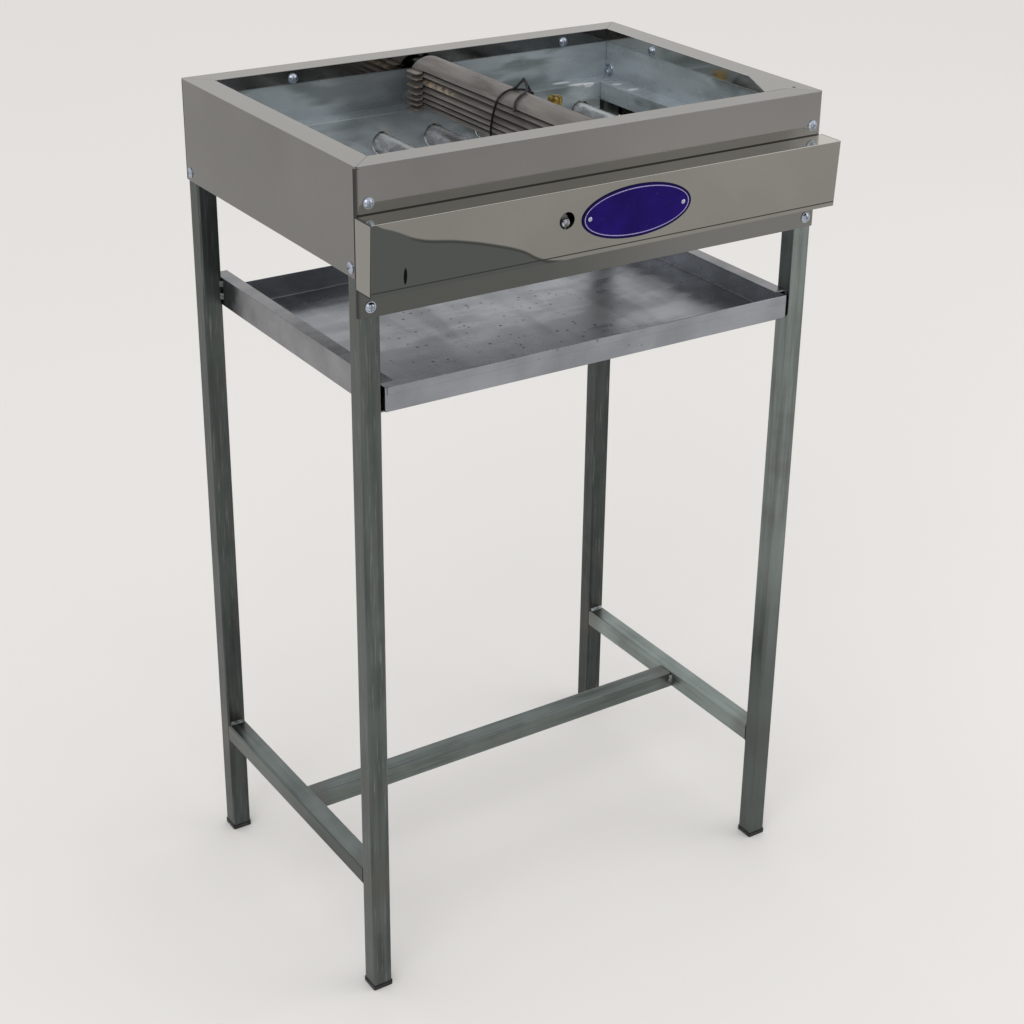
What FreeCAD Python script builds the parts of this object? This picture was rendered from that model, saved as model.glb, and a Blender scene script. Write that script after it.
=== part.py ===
"""Standing gas grill with radiant burner tubes, a sliding drip tray and a tied stack of burner hats.

Millimetres, +Z up, +X right, the control cover faces -Y.
Depths are written from the outer face of the front panel (y = 0, the rear panel is at +DEPTH).
On saving, every piece moves by FRAME_SHIFT, so the origin lies under the middle of the bounding box.
"""
import FreeCAD, Part
import math
import os

V = FreeCAD.Vector
X, Y, Z = V(1, 0, 0), V(0, 1, 0), V(0, 0, 1)

# ---- driving dimensions ------------------------------------------------------------------
WIDTH, DEPTH, HEIGHT = 505.0, 345.0, 850.0
SHEET = 1.0                    # casing, liner and cover sheet
SIDE_H, FRONT_H = 98.0, 133.0  # heights of the side and rear panels, and of the front panel
FLANGE, LIP = 25.0, 13.0       # casing rim: width of the top flange, depth of its inner lip
MITRE_GAP, SEAM_GAP = 0.4, 0.8 # open joint between rims, open joint between upright panel edges
BEND_R = 4.0                   # upright bend at both ends of the front and rear panels

TUBE, TUBE_WALL, TUBE_ROUND = 20.0, 1.2, 2.2
LEG_INSET = 2.0                # leg faces behind the casing's outer faces
CAP_FLANGE, CAP_PLUG = 5.0, 18.0
RAIL_TOP, STRETCHER_TOP, STRETCHER_MID = 138.0, 136.0, 168.0

GUIDE_LOW, GUIDE_TOP, GUIDE_FLANGE, GUIDE_WALL = 623.0, 652.0, 14.0, 1.2
TRAY_SHEET, TRAY_TOP, TRAY_HALF, TRAY_FRONT, TRAY_BACK = 0.8, 648.0, 227.0, 2.0, 310.0
PLAY = 0.3                     # room between pieces that move past each other

LEDGE_Z, LEDGE_WIDTH = 800.0, 23.0
WELL_SIDE_LOW, WELL_END_LOW = 782.0, 754.0   # lower edges of the liner's side and end drops
BURNERS, BURNER_PITCH, BURNER_R, BURNER_WALL, BURNER_Z = 7, 60.0, 11.0, 1.5, 770.0
BURNER_FRONT, BURNER_BACK = 24.0, 318.0
TUBE_HOLE_R = 12.0              # holes in the liner's end drops that carry the burner tubes
RAIL_R, RAIL_WALL = 8.0, 1.5

COVER_HALF, COVER_DEPTH, COVER_TOP, COVER_LOW, COVER_TUCK = 254.0, 28.0, 808.0, 743.3, 3.5
VALVE_X, VALVE_HOLE_Z, VALVE_HOLE_R = -58.8, 780.0, 8.0
SPINDLE_Z, SPINDLE_R, SPINDLE_END = 777.5, 4.0, -24.7
SPINDLE_NECK_R, SPINDLE_PLAY, SPINDLE_FLAT = 3.5, 0.05, 0.9
NOZZLE_R, NOZZLE_LOW, NOZZLE_ROOT = 4.5, 744.5, 758.0
PLATE_X, PLATE_Z, PLATE_W, PLATE_H, PLATE_T = 17.0, 777.4, 120.0, 49.6, 0.8

SHANK_R, SHANK_LEN, HEAD_R, HEAD_H, WASHER_R, WASHER_T = 2.0, 10.0, 4.4, 2.2, 5.2, 0.7
HOLE_PLAY = 0.1

HATS, HAT_SHEET, HAT_HALF, HAT_RISE = 7, 1.2, 18.5, 8.6
HAT_FRONT, HAT_BACK = 27.0, 309.0
EAR_HALF, EAR_LEN, EAR_DROP = 26.5, 20.0, 2.6      # ears at a hat's ends: reach, length, depth under its edges
HAT_GAPS = (5.4, 5.2, 5.7, 6.9, 7.7, 5.8)          # rise from each hat to the next one
WIRE_R = 1.0

# ---- worked-out places -------------------------------------------------------------------
HALF = WIDTH / 2
LEG_OUT = HALF - LEG_INSET
LEG_IN = LEG_OUT - TUBE
FRONT_LEG_Y = LEG_INSET
REAR_LEG_Y = DEPTH - LEG_INSET - TUBE
SCREW_X = LEG_OUT - TUBE / 2 + 0.5
COVER_TILT = math.degrees(math.atan2(COVER_TUCK, COVER_TOP - COVER_LOW))
RIM = HALF - FLANGE            # the lip's visible face, from the middle, in x
LINER_OUT = RIM + 2 * SHEET + 0.1
HAT_FIRST = LEDGE_Z + PLAY + HAT_SHEET / 2 + EAR_DROP


def cover_face(z):
    """Depth of the cover's sloping outer face at height z."""
    return -COVER_DEPTH + (COVER_TOP - z) * COVER_TUCK / (COVER_TOP - COVER_LOW)


FRONT_MOST = cover_face(PLATE_Z + PLATE_H / 2) - PLATE_T
REAR_MOST = DEPTH + WASHER_T + HEAD_H
FRAME_SHIFT = V(0, -(FRONT_MOST + REAR_MOST) / 2, 0)

os.makedirs("parts", exist_ok=True)


# ---- helpers -----------------------------------------------------------------------------
def save(name, *solids):
    """Write one node; several solids make a group."""
    shape = solids[0] if len(solids) == 1 else Part.makeCompound(list(solids))
    shape = shape.copy()
    shape.translate(FRAME_SHIFT)
    if not shape.isValid():
        print("INVALID", name)
    shape.exportStep("parts/" + name + ".step")


def box(x0, x1, y0, y1, z0, z1):
    low = V(min(x0, x1), min(y0, y1), min(z0, z1))
    return Part.makeBox(abs(x1 - x0), abs(y1 - y0), abs(z1 - z0), low)


def rod(radius, start, end):
    return Part.makeCylinder(radius, (end - start).Length, start, end - start)


def mirrored(shape):
    """The same piece on the other side of the middle plane."""
    return shape.mirror(V(0, 0, 0), X)


def turned(shape, point, axis, angle):
    moved = shape.copy()
    moved.rotate(point, axis, angle)
    return moved


def square_tube(start, axis, length):
    """Hollow square tube from the lowest corner `start`, along `axis`."""
    def bar(size, margin, round_r):
        solid = Part.makeBox(*[length + 2 * margin if axis[i] else size for i in range(3)])
        along = [e for e in solid.Edges if abs(e.tangentAt(0).dot(axis)) > 0.9]
        return solid.makeFillet(round_r, along)
    outer = bar(TUBE, 0, TUBE_ROUND)
    inner = bar(TUBE - 2 * TUBE_WALL, 1, TUBE_ROUND - TUBE_WALL)
    inner.translate(V(*[-1 if axis[i] else TUBE_WALL for i in range(3)]))
    tube = outer.cut(inner)
    tube.translate(start)
    return tube


def folded(edges, thickness, along, place):
    """Folded sheet: the centre line `edges` in the plane through `place`, swept by `along`."""
    line = Part.Wire(edges)
    face = line.makeOffset2D(thickness / 2, 0, True, False)
    solid = face.extrude(along)
    solid.translate(place)
    return solid.Solids[0] if len(solid.Solids) == 1 else solid


def polyline(points):
    return [Part.makeLine(a, b) for a, b in zip(points, points[1:])]


def wedge(points, z0, z1):
    """Upright prism over a flat outline, for mitre cuts."""
    loop = [V(x, y, z0) for x, y in points]
    return Part.Face(Part.makePolygon(loop + loop[:1])).extrude(V(0, 0, z1 - z0))


def screw(point, inward):
    """Pan-head cross-recess screw with a washer face; `point` lies on the clamped face."""
    out = inward * -1
    washer = rod(WASHER_R, point, point + out * WASHER_T)
    dome_r = (HEAD_R ** 2 + HEAD_H ** 2) / (2 * HEAD_H)
    dome = Part.makeSphere(dome_r, point + out * (WASHER_T + HEAD_H - dome_r))
    head = dome.common(rod(HEAD_R + 1, point + out * WASHER_T, point + out * (WASHER_T + HEAD_H + 1)))
    shank = rod(SHANK_R, point, point + inward * SHANK_LEN)
    tip = Part.makeCone(SHANK_R, 0.4, 3.0, point + inward * SHANK_LEN, inward)
    body = washer.fuse([head, shank, tip]).removeSplitter()
    side = Z if abs(out.z) < 0.5 else X
    other = out.cross(side)
    top = point + out * (WASHER_T + HEAD_H)
    for arm, thin in ((side, other), (other, side)):
        corner = top - out * 1.3 - arm * 2.4 - thin * 0.45
        loop = [corner, corner + arm * 4.8, corner + arm * 4.8 + thin * 0.9, corner + thin * 0.9]
        body = body.cut(Part.Face(Part.makePolygon(loop + loop[:1])).extrude(out * 3))
    return body


def holes(shape, points, axis, radius, reach):
    """Drill round holes through `shape`, each `reach` either side of its point."""
    for p in points:
        shape = shape.cut(rod(radius, p - axis * reach, p + axis * reach))
    return shape


# ---- screw places ------------------------------------------------------------------------
SIDE_SCREW_Z = 760.0
UPPER_Z, LOWER_Z, REAR_LOW_Z, LIP_SCREW_Z = 818.0, 726.5, 776.0, 842.0
LEG_MIDS = (FRONT_LEG_Y + TUBE / 2, REAR_LEG_Y + TUBE / 2)
SIDE_SCREWS = [V(HALF, y, SIDE_SCREW_Z) for y in LEG_MIDS]
FRONT_SCREWS = [V(s * SCREW_X, 0, z) for s in (-1, 1) for z in (UPPER_Z, LOWER_Z)]
REAR_SCREWS = [V(s * SCREW_X, DEPTH, z) for s in (-1, 1) for z in (UPPER_Z, REAR_LOW_Z)]
REAR_LIP_SCREWS = [V(x, DEPTH - FLANGE, LIP_SCREW_Z) for x in (-146.0, 171.0)]
SIDE_LIP_SCREW = V(RIM, 240.0, LIP_SCREW_Z)
PANEL_HOLE = SHANK_R + 2 * HOLE_PLAY
LEG_HOLE = SHANK_R + HOLE_PLAY


# ---- stand -------------------------------------------------------------------------------
def leg(side, rear):
    """One upright from its foot cap to just under the casing's rim."""
    x0 = LEG_IN if side > 0 else -LEG_OUT
    y0 = REAR_LEG_Y if rear else FRONT_LEG_Y
    tube = square_tube(V(x0, y0, CAP_FLANGE), Z, HEIGHT - 5 - CAP_FLANGE)
    tube = holes(tube, [V(side * LEG_OUT, y0 + TUBE / 2, SIDE_SCREW_Z)], X, LEG_HOLE, 3)
    if rear:
        return holes(tube, [p - Y * LEG_INSET for p in REAR_SCREWS if p.x * side > 0], Y, LEG_HOLE, 3)
    return holes(tube, [p + Y * LEG_INSET for p in FRONT_SCREWS if p.x * side > 0], Y, LEG_HOLE, 3)


def foot_cap(side, rear):
    """Plastic cap: a flange under the tube and a ribbed plug inside it."""
    cx = side * (LEG_OUT - TUBE / 2)
    cy = LEG_MIDS[1] if rear else LEG_MIDS[0]
    half = TUBE / 2 + 0.7
    flange = box(cx - half, cx + half, cy - half, cy + half, 0, CAP_FLANGE)
    flange = flange.makeFillet(TUBE_ROUND, [e for e in flange.Edges if abs(e.tangentAt(0).z) > 0.9])
    bottom = [e for e in flange.Edges if e.BoundBox.ZMax < 0.01]
    flange = flange.makeChamfer(0.8, bottom)
    grip = TUBE / 2 - TUBE_WALL - 0.15
    plug = box(cx - grip, cx + grip, cy - grip, cy + grip, CAP_FLANGE, CAP_FLANGE + CAP_PLUG)
    plug = plug.makeChamfer(1.2, [e for e in plug.Edges if abs(e.tangentAt(0).z) > 0.9])
    hollow = box(cx - grip + 2, cx + grip - 2, cy - grip + 2, cy + grip - 2, CAP_FLANGE, CAP_FLANGE + CAP_PLUG + 1)
    return flange.fuse(plug.cut(hollow)).removeSplitter()


SIDES = (("left", -1), ("right", 1))
for side_name, side in SIDES:
    for end_name, rear in (("front", False), ("rear", True)):
        save("leg_%s_%s" % (end_name, side_name), leg(side, rear))
        save("foot_cap_%s_%s" % (end_name, side_name), foot_cap(side, rear))
    rail_x = LEG_IN if side > 0 else -LEG_OUT
    rail = square_tube(V(rail_x, FRONT_LEG_Y + TUBE, RAIL_TOP - TUBE), Y, REAR_LEG_Y - FRONT_LEG_Y - TUBE)
    save("lower_rail_" + side_name, rail)

save("centre_stretcher",
     square_tube(V(-LEG_IN, STRETCHER_MID - TUBE / 2, STRETCHER_TOP - TUBE), X, 2 * LEG_IN))

# Tray guides: C channels, open towards the middle, against the legs' inner faces.
GUIDE_FRONT, GUIDE_BACK = FRONT_LEG_Y + 6, DEPTH - LEG_INSET - 2
web = LEG_IN - GUIDE_WALL / 2
inner_edge = LEG_IN - GUIDE_FLANGE
low, high = GUIDE_LOW + GUIDE_WALL / 2, GUIDE_TOP - GUIDE_WALL / 2
channel = folded(polyline([V(inner_edge, 0, high), V(web, 0, high), V(web, 0, low), V(inner_edge, 0, low)]),
                 GUIDE_WALL, V(0, GUIDE_BACK - GUIDE_FRONT, 0), V(0, GUIDE_FRONT, 0))
save("tray_guide_right", channel)
save("tray_guide_left", mirrored(channel))

# Weld beads: small fillets where rails meet legs and the stretcher meets the rails.
BEAD = 2.6


def bead(corner, leg_a, leg_b, run):
    """Three-cornered fillet along `run`, with its two legs on the welded faces."""
    loop = [corner, corner + leg_a * BEAD, corner + leg_b * BEAD]
    return Part.Face(Part.makePolygon(loop + loop[:1])).extrude(run)


beads = []
for side in (-1, 1):
    bead_x = side * (LEG_OUT - TUBE / 2) - 8
    for y, towards in ((FRONT_LEG_Y + TUBE, Y), (REAR_LEG_Y, Y * -1)):
        beads.append(bead(V(bead_x, y, RAIL_TOP), towards, Z, X * 16))
        beads.append(bead(V(bead_x, y, RAIL_TOP - TUBE), towards, Z * -1, X * 16))
    for y, towards in ((STRETCHER_MID - TUBE / 2, Y * -1), (STRETCHER_MID + TUBE / 2, Y)):
        beads.append(bead(V(side * LEG_IN, y, STRETCHER_TOP - 17), towards, X * -side, Z * 14))
    for y, towards in ((FRONT_LEG_Y + TUBE, Y), (REAR_LEG_Y, Y * -1)):
        for z in (GUIDE_LOW + 7, GUIDE_TOP - 9):
            beads.append(bead(V(side * LEG_IN, y, z), towards, X * side, Z * 6))
save("weld_beads", *beads)

# ---- casing ------------------------------------------------------------------------------
mid = SHEET / 2


def rim_profile(low_z):
    """Centre line of a panel with its top flange and inner lip; the panel's face is at 0."""
    top = HEIGHT - mid
    return polyline([V(mid, 0, low_z), V(mid, 0, top), V(FLANGE - mid, 0, top),
                     V(FLANGE - mid, 0, HEIGHT - LIP)])


def panel(length, low_z):
    """Panel along Y with its outer face at x = 0, mitred and rounded at both ends for its neighbours."""
    shape = folded(rim_profile(low_z), SHEET, V(0, length, 0), V(0, 0, 0))
    cut, reach = MITRE_GAP / 2, FLANGE + 10
    low_end = wedge([(-9, -9 + cut), (reach, reach + cut), (reach, -50), (-9, -50)], 0, HEIGHT + 9)
    corner = box(-1, BEND_R, -1, BEND_R, HEIGHT - 2.2 * SHEET, HEIGHT + 1)
    corner = corner.cut(rod(BEND_R, V(BEND_R, BEND_R, 0), V(BEND_R, BEND_R, HEIGHT + 9)))
    tools = [low_end, corner]
    return shape.cut(tools + [tool.mirror(V(0, length / 2, 0), Y) for tool in tools])


def trim_upright(shape, length, short):
    """Shorten the upright sheet at both ends, below the flange."""
    for y0 in (-1, length - short):
        shape = shape.cut(box(-1, SHEET + 0.2, y0, y0 + short + 1, 0, HEIGHT - 2 * SHEET))
    return shape


def end_bend(low_z):
    """Quarter bend that takes the upright sheet round the corner towards the neighbouring panel."""
    low, high = V(BEND_R, BEND_R, low_z), V(BEND_R, BEND_R, HEIGHT - 2.2 * SHEET)
    shape = rod(BEND_R, low, high).cut(rod(BEND_R - SHEET, low - Z, high + Z))
    return shape.common(box(0, BEND_R, 0, BEND_R, low_z, HEIGHT))


def bent_panel(length, low_z):
    """Panel whose upright ends are bent round the casing's corners."""
    bend = end_bend(low_z)
    shape = trim_upright(panel(length, low_z), length, BEND_R)
    return shape.fuse([bend, bend.mirror(V(0, length / 2, 0), Y)]).removeSplitter()


left = trim_upright(panel(DEPTH, HEIGHT - SIDE_H), DEPTH, BEND_R + SEAM_GAP)
left.translate(V(-HALF, 0, 0))
left = holes(left, [V(-p.x, p.y, p.z) for p in SIDE_SCREWS], X, PANEL_HOLE, 3)
left = holes(left, [V(-RIM, SIDE_LIP_SCREW.y, LIP_SCREW_Z)], X, PANEL_HOLE, 3)
save("left_panel", left)

# The right panel's lip is flattened to a three-cornered web at its front end, beside a small hole.
WEB_Y, WEB_X, SPARE_HOLE = 58.0, 26.5, V(RIM + 9, FLANGE, HEIGHT)
web_y0 = FLANGE + MITRE_GAP
corner_web = wedge([(RIM + 0.5, web_y0), (RIM + 0.5, web_y0 + WEB_Y), (RIM - WEB_X, web_y0)], HEIGHT - SHEET, HEIGHT)
right = mirrored(left).fuse(corner_web).cut(rod(1.3, SPARE_HOLE - Z * 3, SPARE_HOLE + Z))
save("right_panel", right.removeSplitter())

VALVE_STUB_R = 5.5
front = bent_panel(WIDTH, HEIGHT - FRONT_H)
front = turned(front, V(0, 0, 0), Z, 90)
front.translate(V(HALF, 0, 0))
front = holes(front, FRONT_SCREWS, Y, PANEL_HOLE, 3)
front = front.cut(rod(VALVE_STUB_R + 0.5, V(VALVE_X, -3, BURNER_Z), V(VALVE_X, 4, BURNER_Z)))
save("front_panel", front)

rear = turned(bent_panel(WIDTH, HEIGHT - SIDE_H), V(0, 0, 0), Z, -90)
rear.translate(V(-HALF, DEPTH, 0))
rear = holes(rear, REAR_SCREWS + REAR_LIP_SCREWS, Y, PANEL_HOLE, 3)
save("rear_panel", rear)


# Liner: a wall behind the lip, a ledge for the hats, and a drop beside or across the burners.
LINER_INSET = HALF - LINER_OUT           # the liner stands this far inside the casing's faces
BURNER_XS = [(i - (BURNERS - 1) / 2) * BURNER_PITCH for i in range(BURNERS)]
TUBE_HOLE_Z = BURNER_Z - BURNER_R - HOLE_PLAY + TUBE_HOLE_R


def liner(length, low_z, screw_places, tube_places):
    """Liner piece along Y with the outside of its wall at x = 0, mitred for its neighbours."""
    inner = LEDGE_WIDTH + LINER_OUT - RIM - SHEET
    line = polyline([V(mid, 0, HEIGHT - 3), V(mid, 0, LEDGE_Z - mid), V(inner, 0, LEDGE_Z - mid),
                     V(inner, 0, low_z)])
    shape = folded(line, SHEET, V(0, length, 0), V(0, 0, 0))
    cut, reach = MITRE_GAP / 2, inner + 10
    low_end = wedge([(-9, -9 + cut), (reach, reach + cut), (reach, -50), (-9, -50)], 0, HEIGHT + 9)
    high_end = low_end.mirror(V(0, length / 2, 0), Y)
    shape = shape.cut([low_end, high_end])
    shape = holes(shape, [V(mid, y, LIP_SCREW_Z) for y in screw_places], X, PANEL_HOLE, 3)
    return holes(shape, [V(inner, y, TUBE_HOLE_Z) for y in tube_places], X, TUBE_HOLE_R, 3)


LINER_LEN_Y = DEPTH - 2 * LINER_INSET
LINER_LEN_X = WIDTH - 2 * LINER_INSET
liner_left = liner(LINER_LEN_Y, WELL_SIDE_LOW, [SIDE_LIP_SCREW.y - LINER_INSET], [])
liner_left.translate(V(-LINER_OUT, LINER_INSET, 0))
save("liner_left", liner_left)
save("liner_right", mirrored(liner_left))
tube_places = [x + LINER_OUT for x in BURNER_XS]
liner_front = turned(liner(LINER_LEN_X, WELL_END_LOW, [], tube_places), V(0, 0, 0), Z, 90)
liner_front.translate(V(LINER_OUT, LINER_INSET, 0))
save("liner_front", liner_front)
liner_rear = liner(LINER_LEN_X, WELL_END_LOW, [p.x + LINER_OUT for p in REAR_LIP_SCREWS], tube_places)
liner_rear = turned(liner_rear, V(0, 0, 0), Z, -90)
liner_rear.translate(V(-LINER_OUT, DEPTH - LINER_INSET, 0))
save("liner_rear", liner_rear)

# Hollow rivets in the side walls, close to the rear corners: a ring-shaped head round a bore.
EYELET_R, EYELET_BORE_R, EYELET_T, EYELET_Y, EYELET_Z = 6.3, 3.5, 1.3, 314.5, 806.9


def eyelet(side):
    x = side * (LINER_OUT - SHEET)
    middle = V(x, EYELET_Y, EYELET_Z)
    inwards = X * (-side)
    ring = rod(EYELET_R, middle, middle + inwards * EYELET_T)
    ring = ring.cut(rod(EYELET_BORE_R, middle - inwards, middle + inwards * 3))
    front_x = x - side * EYELET_T
    edge = [e for e in ring.Edges if abs(e.BoundBox.XMin - front_x) < 0.01 and e.BoundBox.YLength > 6]
    return ring.makeFillet(0.9, edge)


save("liner_rivets", eyelet(-1), eyelet(1))

# ---- burners and gas ---------------------------------------------------------------------
for number, x in enumerate(BURNER_XS, 1):
    tube = rod(BURNER_R, V(x, BURNER_FRONT, BURNER_Z), V(x, BURNER_BACK, BURNER_Z))
    bore = rod(BURNER_R - BURNER_WALL, V(x, BURNER_FRONT - 1, BURNER_Z), V(x, BURNER_BACK - 2, BURNER_Z))
    tube = tube.cut(bore)
    for y in range(70, 291, 20):
        tube = tube.cut(box(x - 0.6, x + 0.6, y, y + 12, BURNER_Z - BURNER_R - 1, BURNER_Z - 5))
    save("burner_tube_%d" % number, tube)

RAIL_Y, PLUG_T = FRONT_LEG_Y + RAIL_R, 3.0
rail_solid = rod(RAIL_R, V(-LEG_IN + PLUG_T, RAIL_Y, BURNER_Z), V(LEG_IN - PLUG_T, RAIL_Y, BURNER_Z))
rail_bore = rod(RAIL_R - RAIL_WALL, V(-LEG_IN, RAIL_Y, BURNER_Z), V(LEG_IN, RAIL_Y, BURNER_Z))
save("gas_rail", rail_solid.cut(rail_bore))
save("gas_rail_plugs", *[rod(RAIL_R, V(s * LEG_IN, RAIL_Y, BURNER_Z), V(s * (LEG_IN - PLUG_T), RAIL_Y, BURNER_Z))
                         for s in (-1, 1)])


def hexagon(across, start, end):
    """Hexagonal bar between two points."""
    along = (end - start).normalize()
    side = Z if abs(along.z) < 0.5 else X
    spoke = side * (across / math.sqrt(3))
    loop = []
    for i in range(7):
        turn = FreeCAD.Rotation(along, 60.0 * (i % 6))
        loop.append(start + turn.multVec(spoke))
    return Part.Face(Part.makePolygon(loop)).extrude(end - start)


def injector(x):
    """Brass jet from the gas rail into a burner tube's mouth."""
    nut = hexagon(9.0, V(x, RAIL_Y + 4, BURNER_Z), V(x, BURNER_FRONT - 1, BURNER_Z))
    jet = rod(2.8, V(x, BURNER_FRONT - 1, BURNER_Z), V(x, BURNER_FRONT + 5, BURNER_Z))
    hole = rod(0.6, V(x, RAIL_Y, BURNER_Z), V(x, BURNER_FRONT + 9, BURNER_Z))
    return nut.fuse(jet).cut(rail_solid).cut(hole)


save("injectors", *[injector(x) for x in BURNER_XS])

# Gas tap behind the cover: upright body, stub through the front panel, hose nozzle below.
TAP_Y, TAP_R, TAP_LOW, TAP_TOP = -10.5, 8.5, 762.0, 790.0
BOSS_R, BOSS_END = 6.5, -20.0
tap = rod(TAP_R, V(VALVE_X, TAP_Y, TAP_LOW), V(VALVE_X, TAP_Y, TAP_TOP))
stub = rod(VALVE_STUB_R, V(VALVE_X, TAP_Y, BURNER_Z), V(VALVE_X, RAIL_Y, BURNER_Z)).cut(rail_solid)
boss = rod(BOSS_R, V(VALVE_X, TAP_Y, SPINDLE_Z), V(VALVE_X, BOSS_END, SPINDLE_Z))
SPINDLE_ROOT = TAP_Y + 3
spindle_bore = rod(SPINDLE_NECK_R + SPINDLE_PLAY, V(VALVE_X, SPINDLE_ROOT + PLAY, SPINDLE_Z), V(VALVE_X, -40, SPINDLE_Z))
save("gas_valve_body", tap.fuse([stub, boss]).cut(spindle_bore).removeSplitter())

# The spindle's neck turns in the boss; its wider end, with a flat for a knob, stands out of it.
spindle_shoulder = BOSS_END - PLAY
neck = rod(SPINDLE_NECK_R, V(VALVE_X, SPINDLE_ROOT, SPINDLE_Z), V(VALVE_X, spindle_shoulder, SPINDLE_Z))
knob_end = rod(SPINDLE_R, V(VALVE_X, spindle_shoulder, SPINDLE_Z), V(VALVE_X, SPINDLE_END, SPINDLE_Z))
flat = box(VALVE_X - 5, VALVE_X + 5, SPINDLE_END - 1, BOSS_END, SPINDLE_Z + SPINDLE_R - SPINDLE_FLAT,
           SPINDLE_Z + 9)
save("valve_spindle", neck.fuse(knob_end.cut(flat)))

collar = hexagon(14.0, V(VALVE_X, TAP_Y, NOZZLE_ROOT), V(VALVE_X, TAP_Y, TAP_LOW))
nozzle = rod(NOZZLE_R, V(VALVE_X, TAP_Y, NOZZLE_LOW), V(VALVE_X, TAP_Y, NOZZLE_ROOT))
nozzle = nozzle.makeChamfer(0.8, [e for e in nozzle.Edges if e.BoundBox.ZMax < NOZZLE_LOW + 0.01])
bore = rod(2.8, V(VALVE_X, TAP_Y, NOZZLE_LOW - 1), V(VALVE_X, TAP_Y, TAP_LOW))
save("hose_nozzle", collar.fuse(nozzle).cut(bore).removeSplitter())

# Notched brass fitting that stands on the sixth burner tube, near the rear.
FIT_X, FIT_Y, FIT_TOP = BURNER_XS[5], 258.0, 804.0
saddle = rod(BURNER_R + HOLE_PLAY / 2, V(FIT_X, 0, BURNER_Z), V(FIT_X, DEPTH, BURNER_Z))
foot = hexagon(15.0, V(FIT_X, FIT_Y, BURNER_Z + 6), V(FIT_X, FIT_Y, 788))
stem = rod(5.2, V(FIT_X, FIT_Y, 788), V(FIT_X, FIT_Y, 795))
crown = rod(7.6, V(FIT_X, FIT_Y, 795), V(FIT_X, FIT_Y, FIT_TOP))
for i in range(4):
    slot = box(FIT_X - 9, FIT_X + 9, FIT_Y - 0.7, FIT_Y + 0.7, FIT_TOP - 4.5, FIT_TOP + 1)
    crown = crown.cut(turned(slot, V(FIT_X, FIT_Y, 0), Z, 45.0 * i))
eye = rod(3.4, V(FIT_X, FIT_Y, FIT_TOP - 9), V(FIT_X, FIT_Y, FIT_TOP + 1))
save("brass_fitting", foot.cut(saddle).fuse([stem, crown.cut(eye)]).removeSplitter())

# ---- control cover -----------------------------------------------------------------------
TAB, COVER_SEAM = 10.0, 0.5


def cover_block(half, inset):
    """Solid under the cover's faces, moved inwards by `inset`."""
    top, low_z = COVER_TOP - inset, COVER_LOW - (1 if inset else 0)
    outline = [V(-half, cover_face(top) + inset, top), V(-half, 1 if inset else 0, top),
               V(-half, 1 if inset else 0, low_z), V(-half, cover_face(low_z) + inset, low_z)]
    return Part.Face(Part.makePolygon(outline + outline[:1])).extrude(X * (2 * half))


cover = cover_block(COVER_HALF, 0)
bends = [e for e in cover.Edges
         if e.BoundBox.YMax < -COVER_DEPTH + COVER_TUCK + 0.1
         and (e.BoundBox.XLength < 1 or e.BoundBox.ZMin > COVER_TOP - 0.1)]
cover = cover.makeFillet(0.9, bends)
cover = cover.cut(cover_block(COVER_HALF - SHEET, SHEET))
for side in (-1, 1):
    edge = side * (COVER_HALF - SHEET)
    seam = box(edge, edge - side * COVER_SEAM, -COVER_DEPTH + 2, 1, COVER_TOP - SHEET - 0.1, COVER_TOP + 1)
    tab = box(edge + side * 0.2, edge - side * TAB, -SHEET, 0, COVER_LOW + 2, COVER_TOP - 6)
    cover = cover.cut(seam).fuse(tab)
cover = cover.cut(rod(VALVE_HOLE_R, V(VALVE_X, -40, VALVE_HOLE_Z), V(VALVE_X, -20, VALVE_HOLE_Z)))
save("control_cover", cover.removeSplitter())

COVER_RIVETS = [V(s * (COVER_HALF - SHEET - TAB / 2), -SHEET, z) for s in (-1, 1) for z in (756.0, 794.0)]
save("cover_rivets", *[rod(3.0, p, p - Y * 1.2) for p in COVER_RIVETS])


def on_cover(shape):
    """Lean a piece modelled on the plane y = 0 against the cover's sloping face."""
    foot_point = V(0, cover_face(PLATE_Z), PLATE_Z)
    placed = shape.copy()
    placed.translate(foot_point)
    return turned(placed, foot_point, X, COVER_TILT)


ellipse = Part.Ellipse(V(0, 0, 0), PLATE_W / 2, PLATE_H / 2)
plate = Part.Face(Part.Wire([ellipse.toShape()])).extrude(V(0, 0, PLATE_T))
plate = turned(plate, V(0, 0, 0), X, 90)
plate.translate(V(PLATE_X, 0, 0))
PIN_OFFSET, PIN_R, PIN_HEAD_R, PIN_HEAD_H = 51.4, 1.2, 2.2, 1.0
PIN_XS = [PLATE_X - PIN_OFFSET, PLATE_X + PIN_OFFSET]
save("nameplate", on_cover(plate))


def plate_pin(x):
    ball = (PIN_HEAD_R ** 2 + PIN_HEAD_H ** 2) / (2 * PIN_HEAD_H)
    dome = Part.makeSphere(ball, V(x, -PLATE_T - PIN_HEAD_H + ball, 0))
    return dome.common(box(x - 3, x + 3, -PLATE_T - 2, -PLATE_T, -3, 3))


save("nameplate_rivets", *[on_cover(plate_pin(x)) for x in PIN_XS])

# ---- screws ------------------------------------------------------------------------------
save("side_screws", *[screw(V(s * p.x, p.y, p.z), X * -s) for s in (-1, 1) for p in SIDE_SCREWS])
save("front_screws", *[screw(p, Y) for p in FRONT_SCREWS])
save("rear_screws", *[screw(p, Y * -1) for p in REAR_SCREWS])
save("lip_screws", *([screw(p, Y) for p in REAR_LIP_SCREWS]
                     + [screw(V(s * p.x, p.y, p.z), X * s) for s in (-1, 1) for p in [SIDE_LIP_SCREW]]))

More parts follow.
